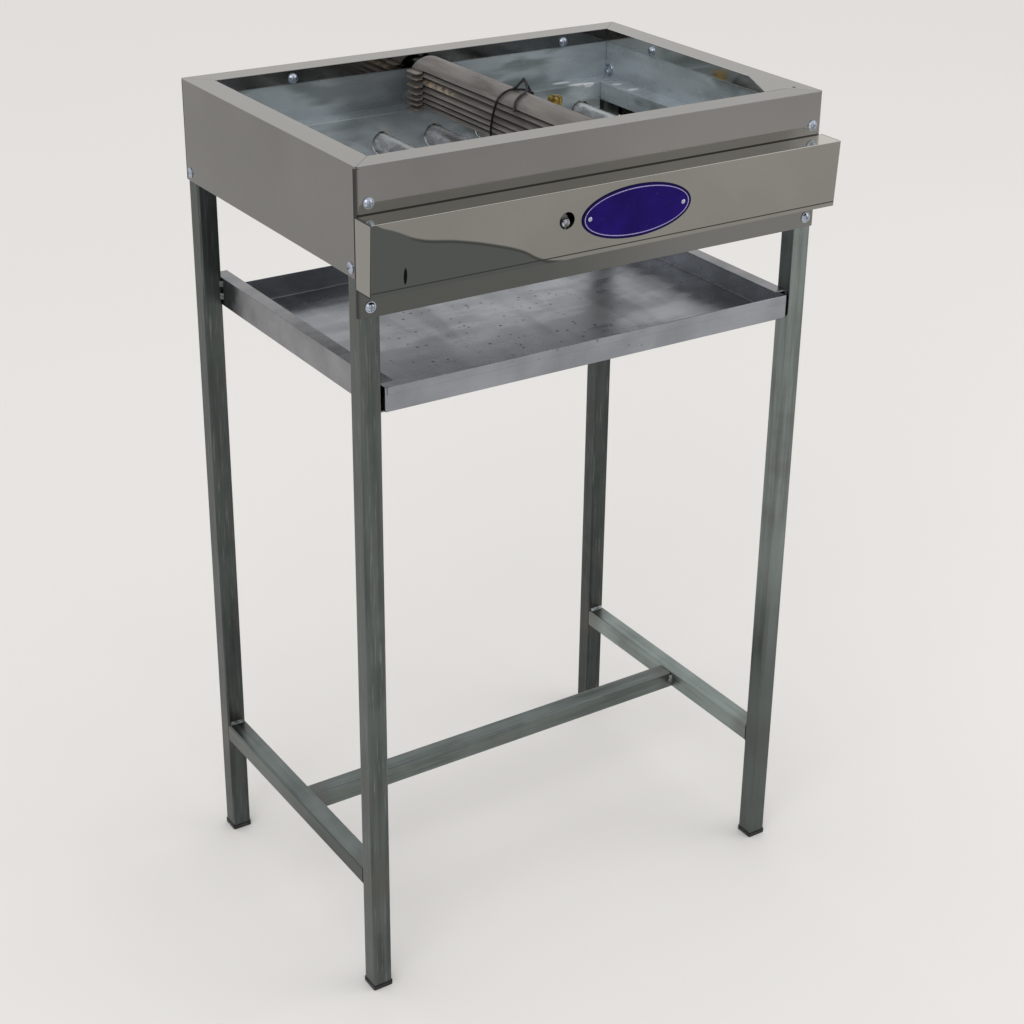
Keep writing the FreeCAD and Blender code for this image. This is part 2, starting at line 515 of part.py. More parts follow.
# ---- drip tray ---------------------------------------------------------------------------
TRAY_LOW = GUIDE_LOW + GUIDE_WALL + PLAY
HEM = 7.0
tray = box(-TRAY_HALF, TRAY_HALF, TRAY_FRONT, TRAY_BACK, TRAY_LOW, TRAY_TOP)
corners = [e for e in tray.Edges if abs(e.tangentAt(0).z) > 0.9 or e.BoundBox.ZMax < TRAY_LOW + 0.01]
tray = tray.makeFillet(1.6, corners)
inside = box(-TRAY_HALF + TRAY_SHEET, TRAY_HALF - TRAY_SHEET, TRAY_FRONT + TRAY_SHEET, TRAY_BACK - TRAY_SHEET,
             TRAY_LOW + TRAY_SHEET, TRAY_TOP + 20)
lower = [e for e in inside.Edges
         if e.BoundBox.ZMax < TRAY_LOW + TRAY_SHEET + 0.01 or abs(e.tangentAt(0).z) > 0.9]
tray = tray.cut(inside.makeFillet(0.8, lower))
hem = box(-TRAY_HALF + 2, TRAY_HALF - 2, TRAY_FRONT - 0.9, TRAY_FRONT + TRAY_SHEET, TRAY_TOP - HEM, TRAY_TOP + 0.8)
hem = hem.makeFillet(0.8, [e for e in hem.Edges if e.BoundBox.YLength < 0.1 and e.BoundBox.XLength > 9])
save("drip_tray", tray.fuse(hem).removeSplitter())

# ---- burner hats -------------------------------------------------------------------------
def hat(edge_z):
    """Half-round cover whose edges step down at both ends to flat ears, which rest on the liner's ledge."""
    arch = Part.Arc(V(-HAT_HALF, 0, edge_z), V(0, 0, edge_z + HAT_RISE), V(HAT_HALF, 0, edge_z)).toShape()
    shape = folded([arch], HAT_SHEET, V(0, HAT_BACK - HAT_FRONT, 0), V(0, HAT_FRONT, 0))
    half, ear_low = HAT_SHEET / 2, edge_z - EAR_DROP - HAT_SHEET / 2
    for side in (-1, 1):
        for y0 in (HAT_FRONT, HAT_BACK - EAR_LEN):
            step = box(side * (HAT_HALF - half), side * (HAT_HALF + half), y0, y0 + EAR_LEN, ear_low, edge_z + 0.3)
            ear = box(side * (HAT_HALF - half), side * EAR_HALF, y0, y0 + EAR_LEN, ear_low, ear_low + HAT_SHEET)
            outer = [e for e in ear.Edges
                     if abs(e.tangentAt(0).z) > 0.9 and abs(e.BoundBox.XMin) > HAT_HALF + 1]
            shape = shape.fuse([step, ear.makeFillet(3.0, outer)])
    return shape.removeSplitter()


edge_z = HAT_FIRST
for number in range(1, HATS + 1):
    save("burner_hat_%d" % number, hat(edge_z))
    if number < HATS:
        edge_z += HAT_GAPS[number - 1]
TOP_EDGE = edge_z


def wire(points, closed):
    """Round wire through `points`, with a ball at each bend."""
    pairs = list(zip(points, points[1:] + points[:1] if closed else points[1:]))
    pieces = [rod(WIRE_R, a, b) for a, b in pairs if (b - a).Length > 0.1]
    balls = [Part.makeSphere(WIRE_R, p) for p in points]
    return pieces[0].fuse(pieces[1:] + balls).removeSplitter()


STAND_OFF = HAT_SHEET / 2 + WIRE_R + PLAY    # from a hat's centre surface to the wire's middle
WIRE_X = HAT_HALF + STAND_OFF
WIRE_LOW = HAT_FIRST - STAND_OFF
CROWN = TOP_EDGE + HAT_RISE + STAND_OFF
PEAK = V(8.3, 147, CROWN + 8.5)
loop = [V(-WIRE_X, 159.4, WIRE_LOW), V(-WIRE_X - 0.4, 148.5, TOP_EDGE + 1.5), V(-15, 150.5, CROWN - 3),
        V(-5, 149, CROWN + 0.9), V(3, 147, CROWN + 1.6), PEAK, V(WIRE_X + 0.5, 146.4, TOP_EDGE + 1),
        V(WIRE_X, 156, WIRE_LOW)]
tail = [PEAK, V(6, 138, CROWN + 2), V(-6, 128, CROWN + 0.8), V(-13.5, 125, CROWN - 2.2),
        V(-18.8, 121, TOP_EDGE + 4.3), V(-21.6, 118, TOP_EDGE - 1)]
save("tie_wire", wire(loop, True).fuse(wire(tail, False)).removeSplitter())
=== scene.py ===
import math

import bmesh
import bpy
from bpy.props import FloatProperty, FloatVectorProperty, IntProperty, PointerProperty
from mathutils import Matrix, Vector


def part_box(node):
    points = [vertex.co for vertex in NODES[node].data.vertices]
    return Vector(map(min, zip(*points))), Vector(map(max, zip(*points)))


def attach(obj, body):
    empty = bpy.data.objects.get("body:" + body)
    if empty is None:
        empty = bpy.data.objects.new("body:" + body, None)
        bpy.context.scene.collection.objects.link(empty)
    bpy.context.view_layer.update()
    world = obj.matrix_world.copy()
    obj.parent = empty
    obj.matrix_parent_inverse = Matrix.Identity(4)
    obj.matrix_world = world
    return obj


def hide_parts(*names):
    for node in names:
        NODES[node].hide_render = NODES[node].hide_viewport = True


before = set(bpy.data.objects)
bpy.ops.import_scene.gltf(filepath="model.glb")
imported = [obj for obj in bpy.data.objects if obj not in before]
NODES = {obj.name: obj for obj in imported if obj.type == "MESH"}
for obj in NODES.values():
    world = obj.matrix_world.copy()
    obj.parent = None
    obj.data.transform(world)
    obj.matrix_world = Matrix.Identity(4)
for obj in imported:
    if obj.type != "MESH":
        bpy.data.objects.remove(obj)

bl_info = {
    "name": "Standing Gas Grill",
    "version": (1, 0, 0),
    "blender": (4, 5, 0),
    "location": "3D Viewport > Sidebar > Grill",
    "description": "Finishes and pieces of a standing gas grill with a tied stack of burner hats",
    "category": "Object",
}

MM = 0.001
NEAR = 1e-5                              # two places closer than this are one, in m
HATS = 7                                 # burner hats in the stack
RING_STEPS = 96                          # sides of a round outline
SENSOR_WIDTH = 36.0                      # of the camera, in mm
LAMP_AIM = (0, 0, 0.55)                  # the point both lamps look at, in m
# Lamps: name, setting that holds the power, length of a side and place, in m.
LAMPS = (("key_lamp", "key_power", 2.2, (-2.4, -2.0, 2.9)),
         ("fill_lamp", "fill_power", 2.0, (2.8, -1.6, 1.9)))

# Places of marks on the surfaces, in mm, in the frame's own axes.
FRONT_Y = -159.699                       # outer face of the front sheet
REAR_Y = FRONT_Y + 320.0                 # inner edge of the rear rim
LIP_REACH, LIP_Z = 25.5, 834.0           # rim with its inner lip, and a height just under the lips
SPARE_HOLE = (236.5, FRONT_Y + 25, 850)
END_BEND_X = 249.5                       # the front sheet's bent ends, from the middle
COVER_LINE_Z = 808.4                     # joint over the cover's top edge
UNDER_COVER_Z = 745.5                    # top of the shaded strip under the cover
COVER_LEAN = 3.5 / 64.7                  # the cover's face leans back 3.5 mm over its height
HAIRLINE_Z = 747.6                       # hairline just over the cover's lower edge
SCRATCH = (-221, FRONT_Y - 25, 758)
REFLECTION_LEFT, REFLECTION_WIDTH = -260.0, 200.0  # the part of the cover that holds the painted reflection's border
REFLECTION_FOOT, REFLECTION_HEIGHT = 740.0, 80.0
# Upper border of the painted reflection on the cover, x and z: a slope, a shoulder and a slope
# again.
REFLECTION_BORDER = [(-248, 807), (-230, 799), (-206, 788), (-171, 781), (-131, 770), (-106, 761),
                (-79, 747)]
# Painted highlights on the liner's ledge: x, distance from the rear rim, half length.
LEDGE_GLINTS = ((166, 6, 14), (178, 19, 15), (190, 22, 9), (214, 40, 7), (216, 66, 9))
LEDGE_GLINT_Z = 800
HAT_SIDE_SHADE_SPOT = (-50, REAR_Y, 820)          # painted shade on the liner beside the hats
CRUMB_CELL = 9                           # a cell this wide holds one crumb at most
CRUMB_SPOT = (-30, -50, 626)             # middle of the crumbs, on the tray's floor
WORN_SPOT = (-18, FRONT_Y + 262, 829)    # where the topmost hat is rubbed
EAR_X = 19.2                             # start of a hat's ears
WELD_HEAT, STRETCHER_HEAT = 22, 16       # how far a weld has scorched a tube
LEG_DARKEN_FROM, LEG_DARKEN_TO = 430.0, 180.0   # heights between which the front right leg grows darker
LEG_LIGHT_GAINS = (0.74, 1.35, 0.52, 0.42)     # painted light and shade: brightness of the legs, front then rear, left first


# ---- colours and nodes --------------------------------------------------------------------
def linear(hex_value):
    """Linear red, green and blue of an sRGB hex value."""
    parts = [int(hex_value[i:i + 2], 16) / 255 for i in (0, 2, 4)]
    return [c / 12.92 if c <= 0.04045 else ((c + 0.055) / 1.055) ** 2.4 for c in parts]


def add_node(tree, kind, inputs=None, **settings):
    """Add a node, set its properties, and give each input a value or a link from a socket."""
    made = tree.nodes.new(kind)
    for name, value in settings.items():
        setattr(made, name, value)
    for name, value in (inputs or {}).items():
        if isinstance(value, bpy.types.NodeSocket):
            tree.links.new(value, made.inputs[name])
        else:
            made.inputs[name].default_value = value
    return made


def rgba(value):
    """Four numbers for a colour socket, from a hex value or three linear numbers."""
    return (*(linear(value) if isinstance(value, str) else value), 1.0)


def toned(tone, gain):
    """A tone made lighter or darker."""
    return [c * gain for c in tone]


def mapped(tree, scale, centre=(0, 0, 0)):
    """Object coordinates in metres, moved so that `centre` (mm) is the origin, then scaled."""
    place = add_node(tree, "ShaderNodeTexCoord").outputs["Object"]
    place = add_node(tree, "ShaderNodeMapping", {
        "Vector": place, "Location": [-c * MM for c in centre]}).outputs["Vector"]
    return add_node(tree, "ShaderNodeMapping", {"Vector": place, "Scale": scale}).outputs["Vector"]


def noise(tree, size_mm, detail=3.0, stretch=(1, 1, 1), distortion=0.0):
    """Noise with blobs about `size_mm` across, drawn out along axes with a `stretch` above 1."""
    where = mapped(tree, [1 / (size_mm * MM * s) for s in stretch])
    return add_node(tree, "ShaderNodeTexNoise", {
        "Vector": where, "Scale": 1.0, "Detail": detail, "Roughness": 0.55,
        "Distortion": distortion}).outputs["Fac"]


def ramp(tree, value, low, high, to_low=0.0, to_high=1.0):
    """Smooth step of `value` from low..high to to_low..to_high."""
    return add_node(tree, "ShaderNodeMapRange", {
        "Value": value, "From Min": low, "From Max": high, "To Min": to_low, "To Max": to_high},
        interpolation_type="SMOOTHSTEP").outputs["Result"]


def calc(tree, operation, *values):
    """One maths step."""
    return add_node(tree, "ShaderNodeMath", dict(enumerate(values)), operation=operation).outputs[0]


def mix(tree, factor, a, b, blend_type="MIX"):
    """Colour a, going to colour b as `factor` rises."""
    made = add_node(tree, "ShaderNodeMix", {0: factor}, data_type="RGBA", blend_type=blend_type)
    for slot, value in ((6, a), (7, b)):
        if isinstance(value, bpy.types.NodeSocket):
            tree.links.new(value, made.inputs[slot])
        else:
            made.inputs[slot].default_value = rgba(value)
    return made.outputs[2]


def spot(tree, centre, size):
    """Mask that is 1 at `centre` and falls to 0 on an ellipsoid of half sizes `size`, all in mm."""
    where = mapped(tree, [1 / (s * MM) for s in size], centre)
    return add_node(tree, "ShaderNodeTexGradient", {"Vector": where},
                    gradient_type="SPHERICAL").outputs["Fac"]


def axis_mm(tree, axis):
    """One object coordinate, in mm."""
    place = add_node(tree, "ShaderNodeTexCoord").outputs["Object"]
    apart = add_node(tree, "ShaderNodeSeparateXYZ", {"Vector": place})
    return calc(tree, "MULTIPLY", apart.outputs[axis], 1000.0)


def across(tree):
    """Distance to the left or right of the middle, in mm."""
    return calc(tree, "ABSOLUTE", axis_mm(tree, 0))


def facing(tree, axis, sign):
    """1 on faces that look along an axis, 0 on the others."""
    turned = add_node(tree, "ShaderNodeNewGeometry").outputs["Normal"]
    part = add_node(tree, "ShaderNodeSeparateXYZ", {"Vector": turned}).outputs[axis]
    return ramp(tree, part, sign * 0.6, sign * 0.9)


def distance(tree, value, middle):
    """How far `value` is from `middle`, either way."""
    return calc(tree, "ABSOLUTE", calc(tree, "SUBTRACT", value, middle))


def band(tree, value, middle, half, soft=0.3):
    """1 where `value` is within `half` of `middle`."""
    return ramp(tree, distance(tree, value, middle), half, half + soft, 1.0, 0.0)


def both(tree, *masks):
    """Product of masks."""
    product = masks[0]
    for mask in masks[1:]:
        product = calc(tree, "MULTIPLY", product, mask)
    return product


def marked(tree, colour, marks):
    """Lay marks, each a mask and its colour, over a colour."""
    for mask, dye in marks:
        colour = mix(tree, mask(tree), colour, dye)
    return colour


def new_material(name, metallic, roughness, **fixed):
    """Empty material with a Principled shader; `fixed` sets sockets that are the same all over."""
    made = bpy.data.materials.new(name)
    made.use_nodes = True
    tree = made.node_tree
    shader = tree.nodes["Principled BSDF"]
    shader.inputs["Metallic"].default_value = metallic
    shader.inputs["Roughness"].default_value = roughness
    for socket, value in fixed.items():
        shader.inputs[socket.replace("_", " ")].default_value = value
    return made, tree, shader


def finish_shader(tree, shader, colour, roughness=None, height=None, height_mm=0.1):
    """Link the colour, the roughness and a bump of `height_mm` to the shader."""
    tree.links.new(colour, shader.inputs["Base Color"])
    if roughness is not None:
        tree.links.new(roughness, shader.inputs["Roughness"])
    if height is not None:
        bump = add_node(tree, "ShaderNodeBump", {"Height": height, "Distance": height_mm * MM,
                                                 "Strength": 1.0})
        tree.links.new(bump.outputs["Normal"], shader.inputs["Normal"])


# ---- finishes -----------------------------------------------------------------------------
def stainless_sheet(name, tone, lit_top_gain, marks=(), grain=(1, 1, 14)):
    """Cold-rolled stainless steel, 2B finish: neutral grey, glossy, faint lines, cloudy wipes, and
    painted light on faces that look up.
    """
    made, tree, shader = new_material(name, 1.0, 0.15)
    clouds = noise(tree, 150, 2.0)
    lines = noise(tree, 2.2, 2.0, grain)             # coarser than real rolling lines, to show
    smears = noise(tree, 34, 4.0, (1, 1, 1.6), 0.6)  # wiped fingerprints
    colour = mix(tree, ramp(tree, clouds, 0.32, 0.7), toned(tone, 0.94), toned(tone, 1.06))
    colour = mix(tree, ramp(tree, smears, 0.5, 0.75, 0.0, 0.12), colour, toned(tone, 0.8))
    colour = mix(tree, ramp(tree, lines, 0.3, 0.7, 0.0, 0.07), colour, toned(tone, 1.25))
    # Painted light: faces that look up are made lighter by this gain.
    colour = mix(tree, facing(tree, "Z", 1), colour, toned(tone, lit_top_gain))
    colour = marked(tree, colour, marks)
    rough = ramp(tree, smears, 0.35, 0.75, 0.07, 0.13)
    finish_shader(tree, shader, colour, rough, noise(tree, 210, 0.0), 0.25)
    return made


def galvanised_sheet(name, tone, marks=(), flower=0.1, rough=(0.2, 0.34), metallic=1.0):
    """Hot-dip galvanised sheet: smooth blue-grey zinc, faint flowers 12 mm across, cloudy oxide."""
    made, tree, shader = new_material(name, metallic, 0.28)
    bend = noise(tree, 14, 2.0)
    place = mapped(tree, [1 / (12 * MM)] * 3)
    place = add_node(tree, "ShaderNodeVectorMath", {0: place, 1: bend}, operation="ADD").outputs[0]
    flowers = add_node(tree, "ShaderNodeTexVoronoi", {"Vector": place, "Scale": 1.0,
                                                      "Randomness": 1.0}).outputs["Color"]
    shade = add_node(tree, "ShaderNodeSeparateColor", {"Color": flowers}).outputs["Red"]
    clouds = noise(tree, 75, 3.0)
    colour = mix(tree, ramp(tree, clouds, 0.3, 0.7), toned(tone, 0.84), toned(tone, 1.16))
    colour = mix(tree, calc(tree, "MULTIPLY", shade, flower), colour, toned(tone, 1.5))
    wipes = noise(tree, 22, 2.0, (3.5, 1, 1))
    colour = mix(tree, ramp(tree, wipes, 0.5, 0.75, 0.0, 0.14), colour, toned(tone, 0.7))
    colour = marked(tree, colour, marks)
    finish_shader(tree, shader, colour, ramp(tree, wipes, 0.3, 0.7, *rough),
                  noise(tree, 120, 0.0), 0.5)
    return made


def galvanised_tube(name, tone, along, joints=(), marks=()):
    """Square tube of galvanised strip: grey-green, long streaks, scorched dull at the welds."""
    made, tree, shader = new_material(name, 1.0, 0.36)
    drawn = [26 if axis == along else 1 for axis in range(3)]
    streaks = noise(tree, 6.5, 3.0, drawn)
    fine = noise(tree, 1.6, 2.0, drawn)
    clouds = noise(tree, 60, 3.0)
    colour = mix(tree, ramp(tree, streaks, 0.3, 0.7), toned(tone, 0.76), toned(tone, 1.2))
    colour = mix(tree, ramp(tree, clouds, 0.42, 0.7, 0.0, 0.5), colour, toned(tone, 1.35))
    colour = mix(tree, ramp(tree, clouds, 0.45, 0.28, 0.0, 0.4), colour, "5c574f")
    colour = mix(tree, ramp(tree, fine, 0.55, 0.8, 0.0, 0.35), colour, "98a09f")
    for axis, middle, reach in joints:
        away = distance(tree, axis_mm(tree, axis), middle)
        colour = mix(tree, ramp(tree, away, reach * 0.4, reach * 1.6, 0.45, 0.0), colour, "5d5852")
    colour = marked(tree, colour, marks)
    rough = ramp(tree, streaks, 0.3, 0.7, 0.28, 0.42)
    finish_shader(tree, shader, colour, rough, fine, 0.015)
    return made


def zinc_plate(name):
    """Zinc-plated steel fasteners, clear passivated: bright with a cold blue cast."""
    made, tree, shader = new_material(name, 1.0, 0.24)
    colour = mix(tree, noise(tree, 2.5, 2.0), "8791a3", "c3c9d4")
    finish_shader(tree, shader, colour, ramp(tree, noise(tree, 1.5), 0.3, 0.7, 0.2, 0.34))
    return made


def turned_fitting(name, dark, light):
    """Brass, plated steel or weld metal of a small piece: half bright, cloudy with tarnish."""
    made, tree, shader = new_material(name, 0.8, 0.3)
    colour = mix(tree, ramp(tree, noise(tree, 4, 4.0), 0.35, 0.7), dark, light)
    finish_shader(tree, shader, colour, ramp(tree, noise(tree, 3), 0.3, 0.7, 0.22, 0.42))
    return made


def burner_steel(name):
    """Aluminised steel tube that has been hot: silver, mottled straw and blue over the flame."""
    made, tree, shader = new_material(name, 0.6, 0.22)
    mottle = noise(tree, 10, 4.0, (1, 2.5, 1), 0.8)
    colour = mix(tree, ramp(tree, mottle, 0.35, 0.65), "9c9e9f", "d4d7da")
    heat = ramp(tree, noise(tree, 45, 2.0), 0.52, 0.68, 0.0, 0.4)
    colour = mix(tree, heat, colour, "8b7a66")
    blue = ramp(tree, noise(tree, 34, 2.0, (1, 1.6, 1), 0.4), 0.58, 0.7, 0.0, 0.25)
    colour = mix(tree, blue, colour, "5d6678")
    # Painted highlight and painted shade, set by the way each face is turned.
    turned = add_node(tree, "ShaderNodeNewGeometry").outputs["Normal"]
    part = add_node(tree, "ShaderNodeSeparateXYZ", {"Vector": turned}).outputs
    crest_highlight = both(tree, band(tree, part["X"], -0.2, 0.1, 0.22),       # painted highlight along the top
                 ramp(tree, part["Z"], 0.6, 0.8, 0.0, 0.9))
    colour = mix(tree, crest_highlight, colour, "f4f6f3")
    flank_shade = ramp(tree, part["X"], 0.2, 0.7, 0.0, 0.85)               # painted shade on the right
    colour = mix(tree, flank_shade, colour, "2b2e22")
    finish_shader(tree, shader, colour, ramp(tree, mottle, 0.3, 0.7, 0.16, 0.3), mottle, 0.008)
    return made


def raw_steel(name, tone, shade_within=None):
    """Uncoated rolled steel after many fires: brown-grey scale, half matt, pale where it rubs."""
    made, tree, shader = new_material(name, 0.45, 0.55)
    long_streaks = noise(tree, 9, 4.0, (1, 7, 1), 0.5)
    patches = noise(tree, 40, 3.0, (1, 2.2, 0.35), 0.4)
    colour = mix(tree, ramp(tree, long_streaks, 0.3, 0.7), toned(tone, 0.78), toned(tone, 1.16))
    colour = mix(tree, ramp(tree, patches, 0.56, 0.7, 0.0, 0.35), colour, "8f887d")
    colour = mix(tree, ramp(tree, patches, 0.42, 0.3, 0.0, 0.4), colour, "4b4643")
    worn = both(tree, ramp(tree, spot(tree, WORN_SPOT, (12, 50, 5)), 0.15, 0.6),
                ramp(tree, noise(tree, 5, 4.0), 0.42, 0.56))
    colour = mix(tree, worn, colour, "a8977f")
    # Painted light: the ears are made paler and tanner.
    ears = ramp(tree, across(tree), EAR_X, EAR_X + 0.8, 0.0, 0.5)
    colour = mix(tree, ears, colour, "978b7f")
    if shade_within:                                  # painted shade: black where the next hat covers this one
        gap_shade = ramp(tree, across(tree), shade_within + 0.35, shade_within - 0.35)
        colour = mix(tree, gap_shade, colour, "0d0b0a")
    finish_shader(tree, shader, colour, ramp(tree, patches, 0.3, 0.7, 0.62, 0.42),
                  long_streaks, 0.05)
    return made


def annealed_wire(name):
    """Black annealed steel wire: soft, scaly and dark."""
    made, tree, shader = new_material(name, 0.3, 0.5)
    colour = mix(tree, ramp(tree, noise(tree, 2.5), 0.4, 0.7), "0d0c0c", "2b2826")
    finish_shader(tree, shader, colour, None, noise(tree, 1.2), 0.06)
    return made


def black_plastic(name):
    """Injection-moulded polypropylene: black, half matt, with dust worn into its corners."""
    made, tree, shader = new_material(name, 0.0, 0.45, IOR=1.49)
    colour = mix(tree, ramp(tree, noise(tree, 9, 4.0), 0.45, 0.75, 0.0, 0.8), "101312", "2b302f")
    finish_shader(tree, shader, colour, ramp(tree, noise(tree, 6), 0.3, 0.7, 0.36, 0.56),
                  noise(tree, 0.9), 0.04)
    return made


def blue_enamel(name, tone, edge_tone, middle, half_sizes):
    """Stove enamel on aluminium: deep indigo with a gloss, worn pale on its rim."""
    made, tree, shader = new_material(name, 0.0, 0.25, Specular_IOR_Level=0.05)
    shade = ramp(tree, noise(tree, 30, 2.0), 0.3, 0.7)
    colour = mix(tree, shade, toned(tone, 0.8), toned(tone, 1.25))
    dust = ramp(tree, noise(tree, 3, 4.0), 0.66, 0.8, 0.0, 0.12)
    colour = mix(tree, dust, colour, edge_tone)
    border = ramp(tree, spot(tree, middle, half_sizes), 0.075, 0.055, 0.0, 0.75)
    colour = mix(tree, border, colour, "0c0630")     # darker outside the printed line
    finish_shader(tree, shader, colour, ramp(tree, noise(tree, 14), 0.3, 0.7, 0.2, 0.34),
                  noise(tree, 22, 1.0), 0.12)
    return made


# ---- settings -----------------------------------------------------------------------------
def length_prop(name, description, default):
    """A length, in metres."""
    return FloatProperty(name=name, description=description, default=default, unit="LENGTH",
                         precision=5)


def place_prop(name, description, default):
    """A point, in metres."""
    return FloatVectorProperty(name=name, description=description, default=default,
                               subtype="TRANSLATION", unit="LENGTH", precision=5)


def colour_prop(name, description, hex_value):
    """A colour, from a hex value."""
    return FloatVectorProperty(name=name, description=description, default=linear(hex_value),
                               subtype="COLOR", size=3, min=0.0, max=1.0)


class GRILL_PG_camera(bpy.types.PropertyGroup):
    """Where the camera stands and what it takes in."""
    place: place_prop("Place", "Where the camera stands", (-0.990554, -1.527305, 1.308388))
    target: place_prop("Target", "Point on the optical axis", (0.070477, 0.040301, 0.439248))
    lens: FloatProperty(name="Focal length", description="In mm on a sensor 36 mm wide",
                        default=68.71)
    roll: FloatProperty(name="Roll", description="Turn about the optical axis", default=0.019,
                        subtype="ANGLE")
    shift: FloatVectorProperty(name="Shift", description="Share of the frame's side", size=2,
                               default=(-0.02734, -0.05957))


class GRILL_PG_stage(bpy.types.PropertyGroup):
    """Floor and light."""
    floor_radius: length_prop("Floor radius", "How far the floor goes", 14.0)
    floor_colour: colour_prop("Floor colour", "Plain pale floor", "efece8")
    ambient: FloatProperty(name="Ambient", description="Strength of the light from all round",
                           default=0.92, min=0.0)
    key_power: FloatProperty(name="Key lamp", default=26.0, min=0.0,
                             description="Power of the lamp at the left, in watts")
    fill_power: FloatProperty(name="Fill lamp", default=14.0, min=0.0,
                              description="Power of the lamp at the right, in watts")


class GRILL_PG_hats(bpy.types.PropertyGroup):
    """Sizes of a burner hat."""
    half_width: length_prop("Half width", "From the middle to the arch's foot", 0.0185)
    rise: length_prop("Rise", "Height of the arch over its feet", 0.0086)
    sheet: length_prop("Sheet", "Thickness of the steel", 0.0012)
    ear_half: length_prop("Ear reach", "From the middle to an ear's tip", 0.0265)
    ear_length: length_prop("Ear length", "Length of an ear along the hat", 0.020)
    ear_drop: length_prop("Ear drop", "How much lower an ear is than the arch's feet", 0.0026)
    ear_dip: length_prop("Ear dip", "How much an ear's middle sags", 0.0002)
    ear_corner: length_prop("Ear corner", "How much of an ear's corners is cut off", 0.003)
    edge_break: length_prop("Edge break", "Bevel along the cut edges", 0.0002)
    # Painted shade: how far below the next hat's feet the black on each hat reaches.
    shade_drop: length_prop("Shade drop", "From the next hat's feet down to the soot's edge", 0.0028)
    arch_steps: IntProperty(name="Arch steps", description="Faces round the arch", default=18,
                            min=4)


class GRILL_PG_wire(bpy.types.PropertyGroup):
    """Sizes of the tie wire."""
    radius: length_prop("Radius", "Half the wire's thickness", 0.0012)
    stand_off: length_prop("Stand-off", "From a hat's middle surface to the wire's middle", 0.0019)


class GRILL_PG_finish(bpy.types.PropertyGroup):
    """Base colours of the finishes."""
    casing: colour_prop("Casing", "Stainless side panels", "7c7b79")
    cover: colour_prop("Cover", "Stainless control cover", "878681")
    liner: colour_prop("Liner", "Galvanised liner", "98a1a6")
    tray: colour_prop("Tray", "Galvanised drip tray", "8f9399")
    guide: colour_prop("Guides", "Galvanised tray guides", "85868a")
    tube: colour_prop("Frame tube", "Square tube of the stand", "666d6b")
    hats: colour_prop("Hats", "Uncoated steel of the burner hats", "706c68")
    plate: colour_prop("Nameplate", "Enamel of the nameplate", "1c0c5c")
    plate_line: colour_prop("Nameplate line", "Printed line round the nameplate", "a79fd0")


class GRILL_PG_settings(bpy.types.PropertyGroup):
    """All the grill's settings."""
    camera: PointerProperty(type=GRILL_PG_camera)
    stage: PointerProperty(type=GRILL_PG_stage)
    hats: PointerProperty(type=GRILL_PG_hats)
    wire: PointerProperty(type=GRILL_PG_wire)
    finish: PointerProperty(type=GRILL_PG_finish)


# ---- modelling ----------------------------------------------------------------------------
def select_nothing():
    """Object mode with nothing selected, so that an operator acts on the new piece alone."""
    if bpy.context.object is not None and bpy.context.object.mode != "OBJECT":
        bpy.ops.object.mode_set(mode="OBJECT")
    bpy.ops.object.select_all(action="DESELECT")


def select_where(test, kind="verts"):
    """In edit mode, select the verts, edges or faces whose every vertex passes `test`."""
    mesh = bpy.context.object.data
    bm = bmesh.from_edit_mesh(mesh)
    for group in (bm.verts, bm.edges, bm.faces):
        for element in group:
            element.select = False
    for element in getattr(bm, kind):
        corners = [element] if kind == "verts" else element.verts
        if all(test(corner.co) for corner in corners):
            element.select_set(True)
    bm.select_flush_mode()
    bmesh.update_edit_mesh(mesh)


def near(a, b):
    """True for two places that are one but for rounding."""
    return abs(a - b) < NEAR


def edit(select_mode="VERT"):
    """Go into edit mode."""
    bpy.ops.object.mode_set(mode="EDIT")
    bpy.ops.mesh.select_mode(type=select_mode)


def slide(offset):
    """Move what is selected."""
    bpy.ops.transform.translate(value=offset)


def apply_modifier(kind, **settings):
    """Add a modifier to the active object and apply it."""
    piece = bpy.context.object
    made = piece.modifiers.new(kind.title(), kind)
    for name, value in settings.items():
        setattr(made, name, value)
    bpy.ops.object.modifier_apply(modifier=made.name)


def settle(piece, name, material, body, smooth_deg=35.0):
    """Name the piece, bring its origin to the frame's, smooth it and let it ride on its body."""
    select_nothing()
    piece.select_set(True)
    bpy.context.view_layer.objects.active = piece
    bpy.ops.object.transform_apply(location=True, rotation=True, scale=True)
    bpy.ops.object.shade_smooth_by_angle(angle=math.radians(smooth_deg))
    piece.name = piece.data.name = name
    piece.data.materials.clear()
    piece.data.materials.append(material)
    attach(piece, body)


def arch_radius(sizes):
    """Radius of the circle that a hat's arch is part of."""
    return (sizes.half_width ** 2 + sizes.rise ** 2) / (2 * sizes.rise)


def copy_of(piece):
    """Copy with its own mesh."""
    twin = piece.copy()
    twin.data = piece.data.copy()
    bpy.context.scene.collection.objects.link(twin)
    return twin


def paint(material, *names):
    """Give CAD nodes a finish."""
    for name in names:
        mesh = NODES[name].data
        mesh.materials.clear()
        mesh.materials.append(material)


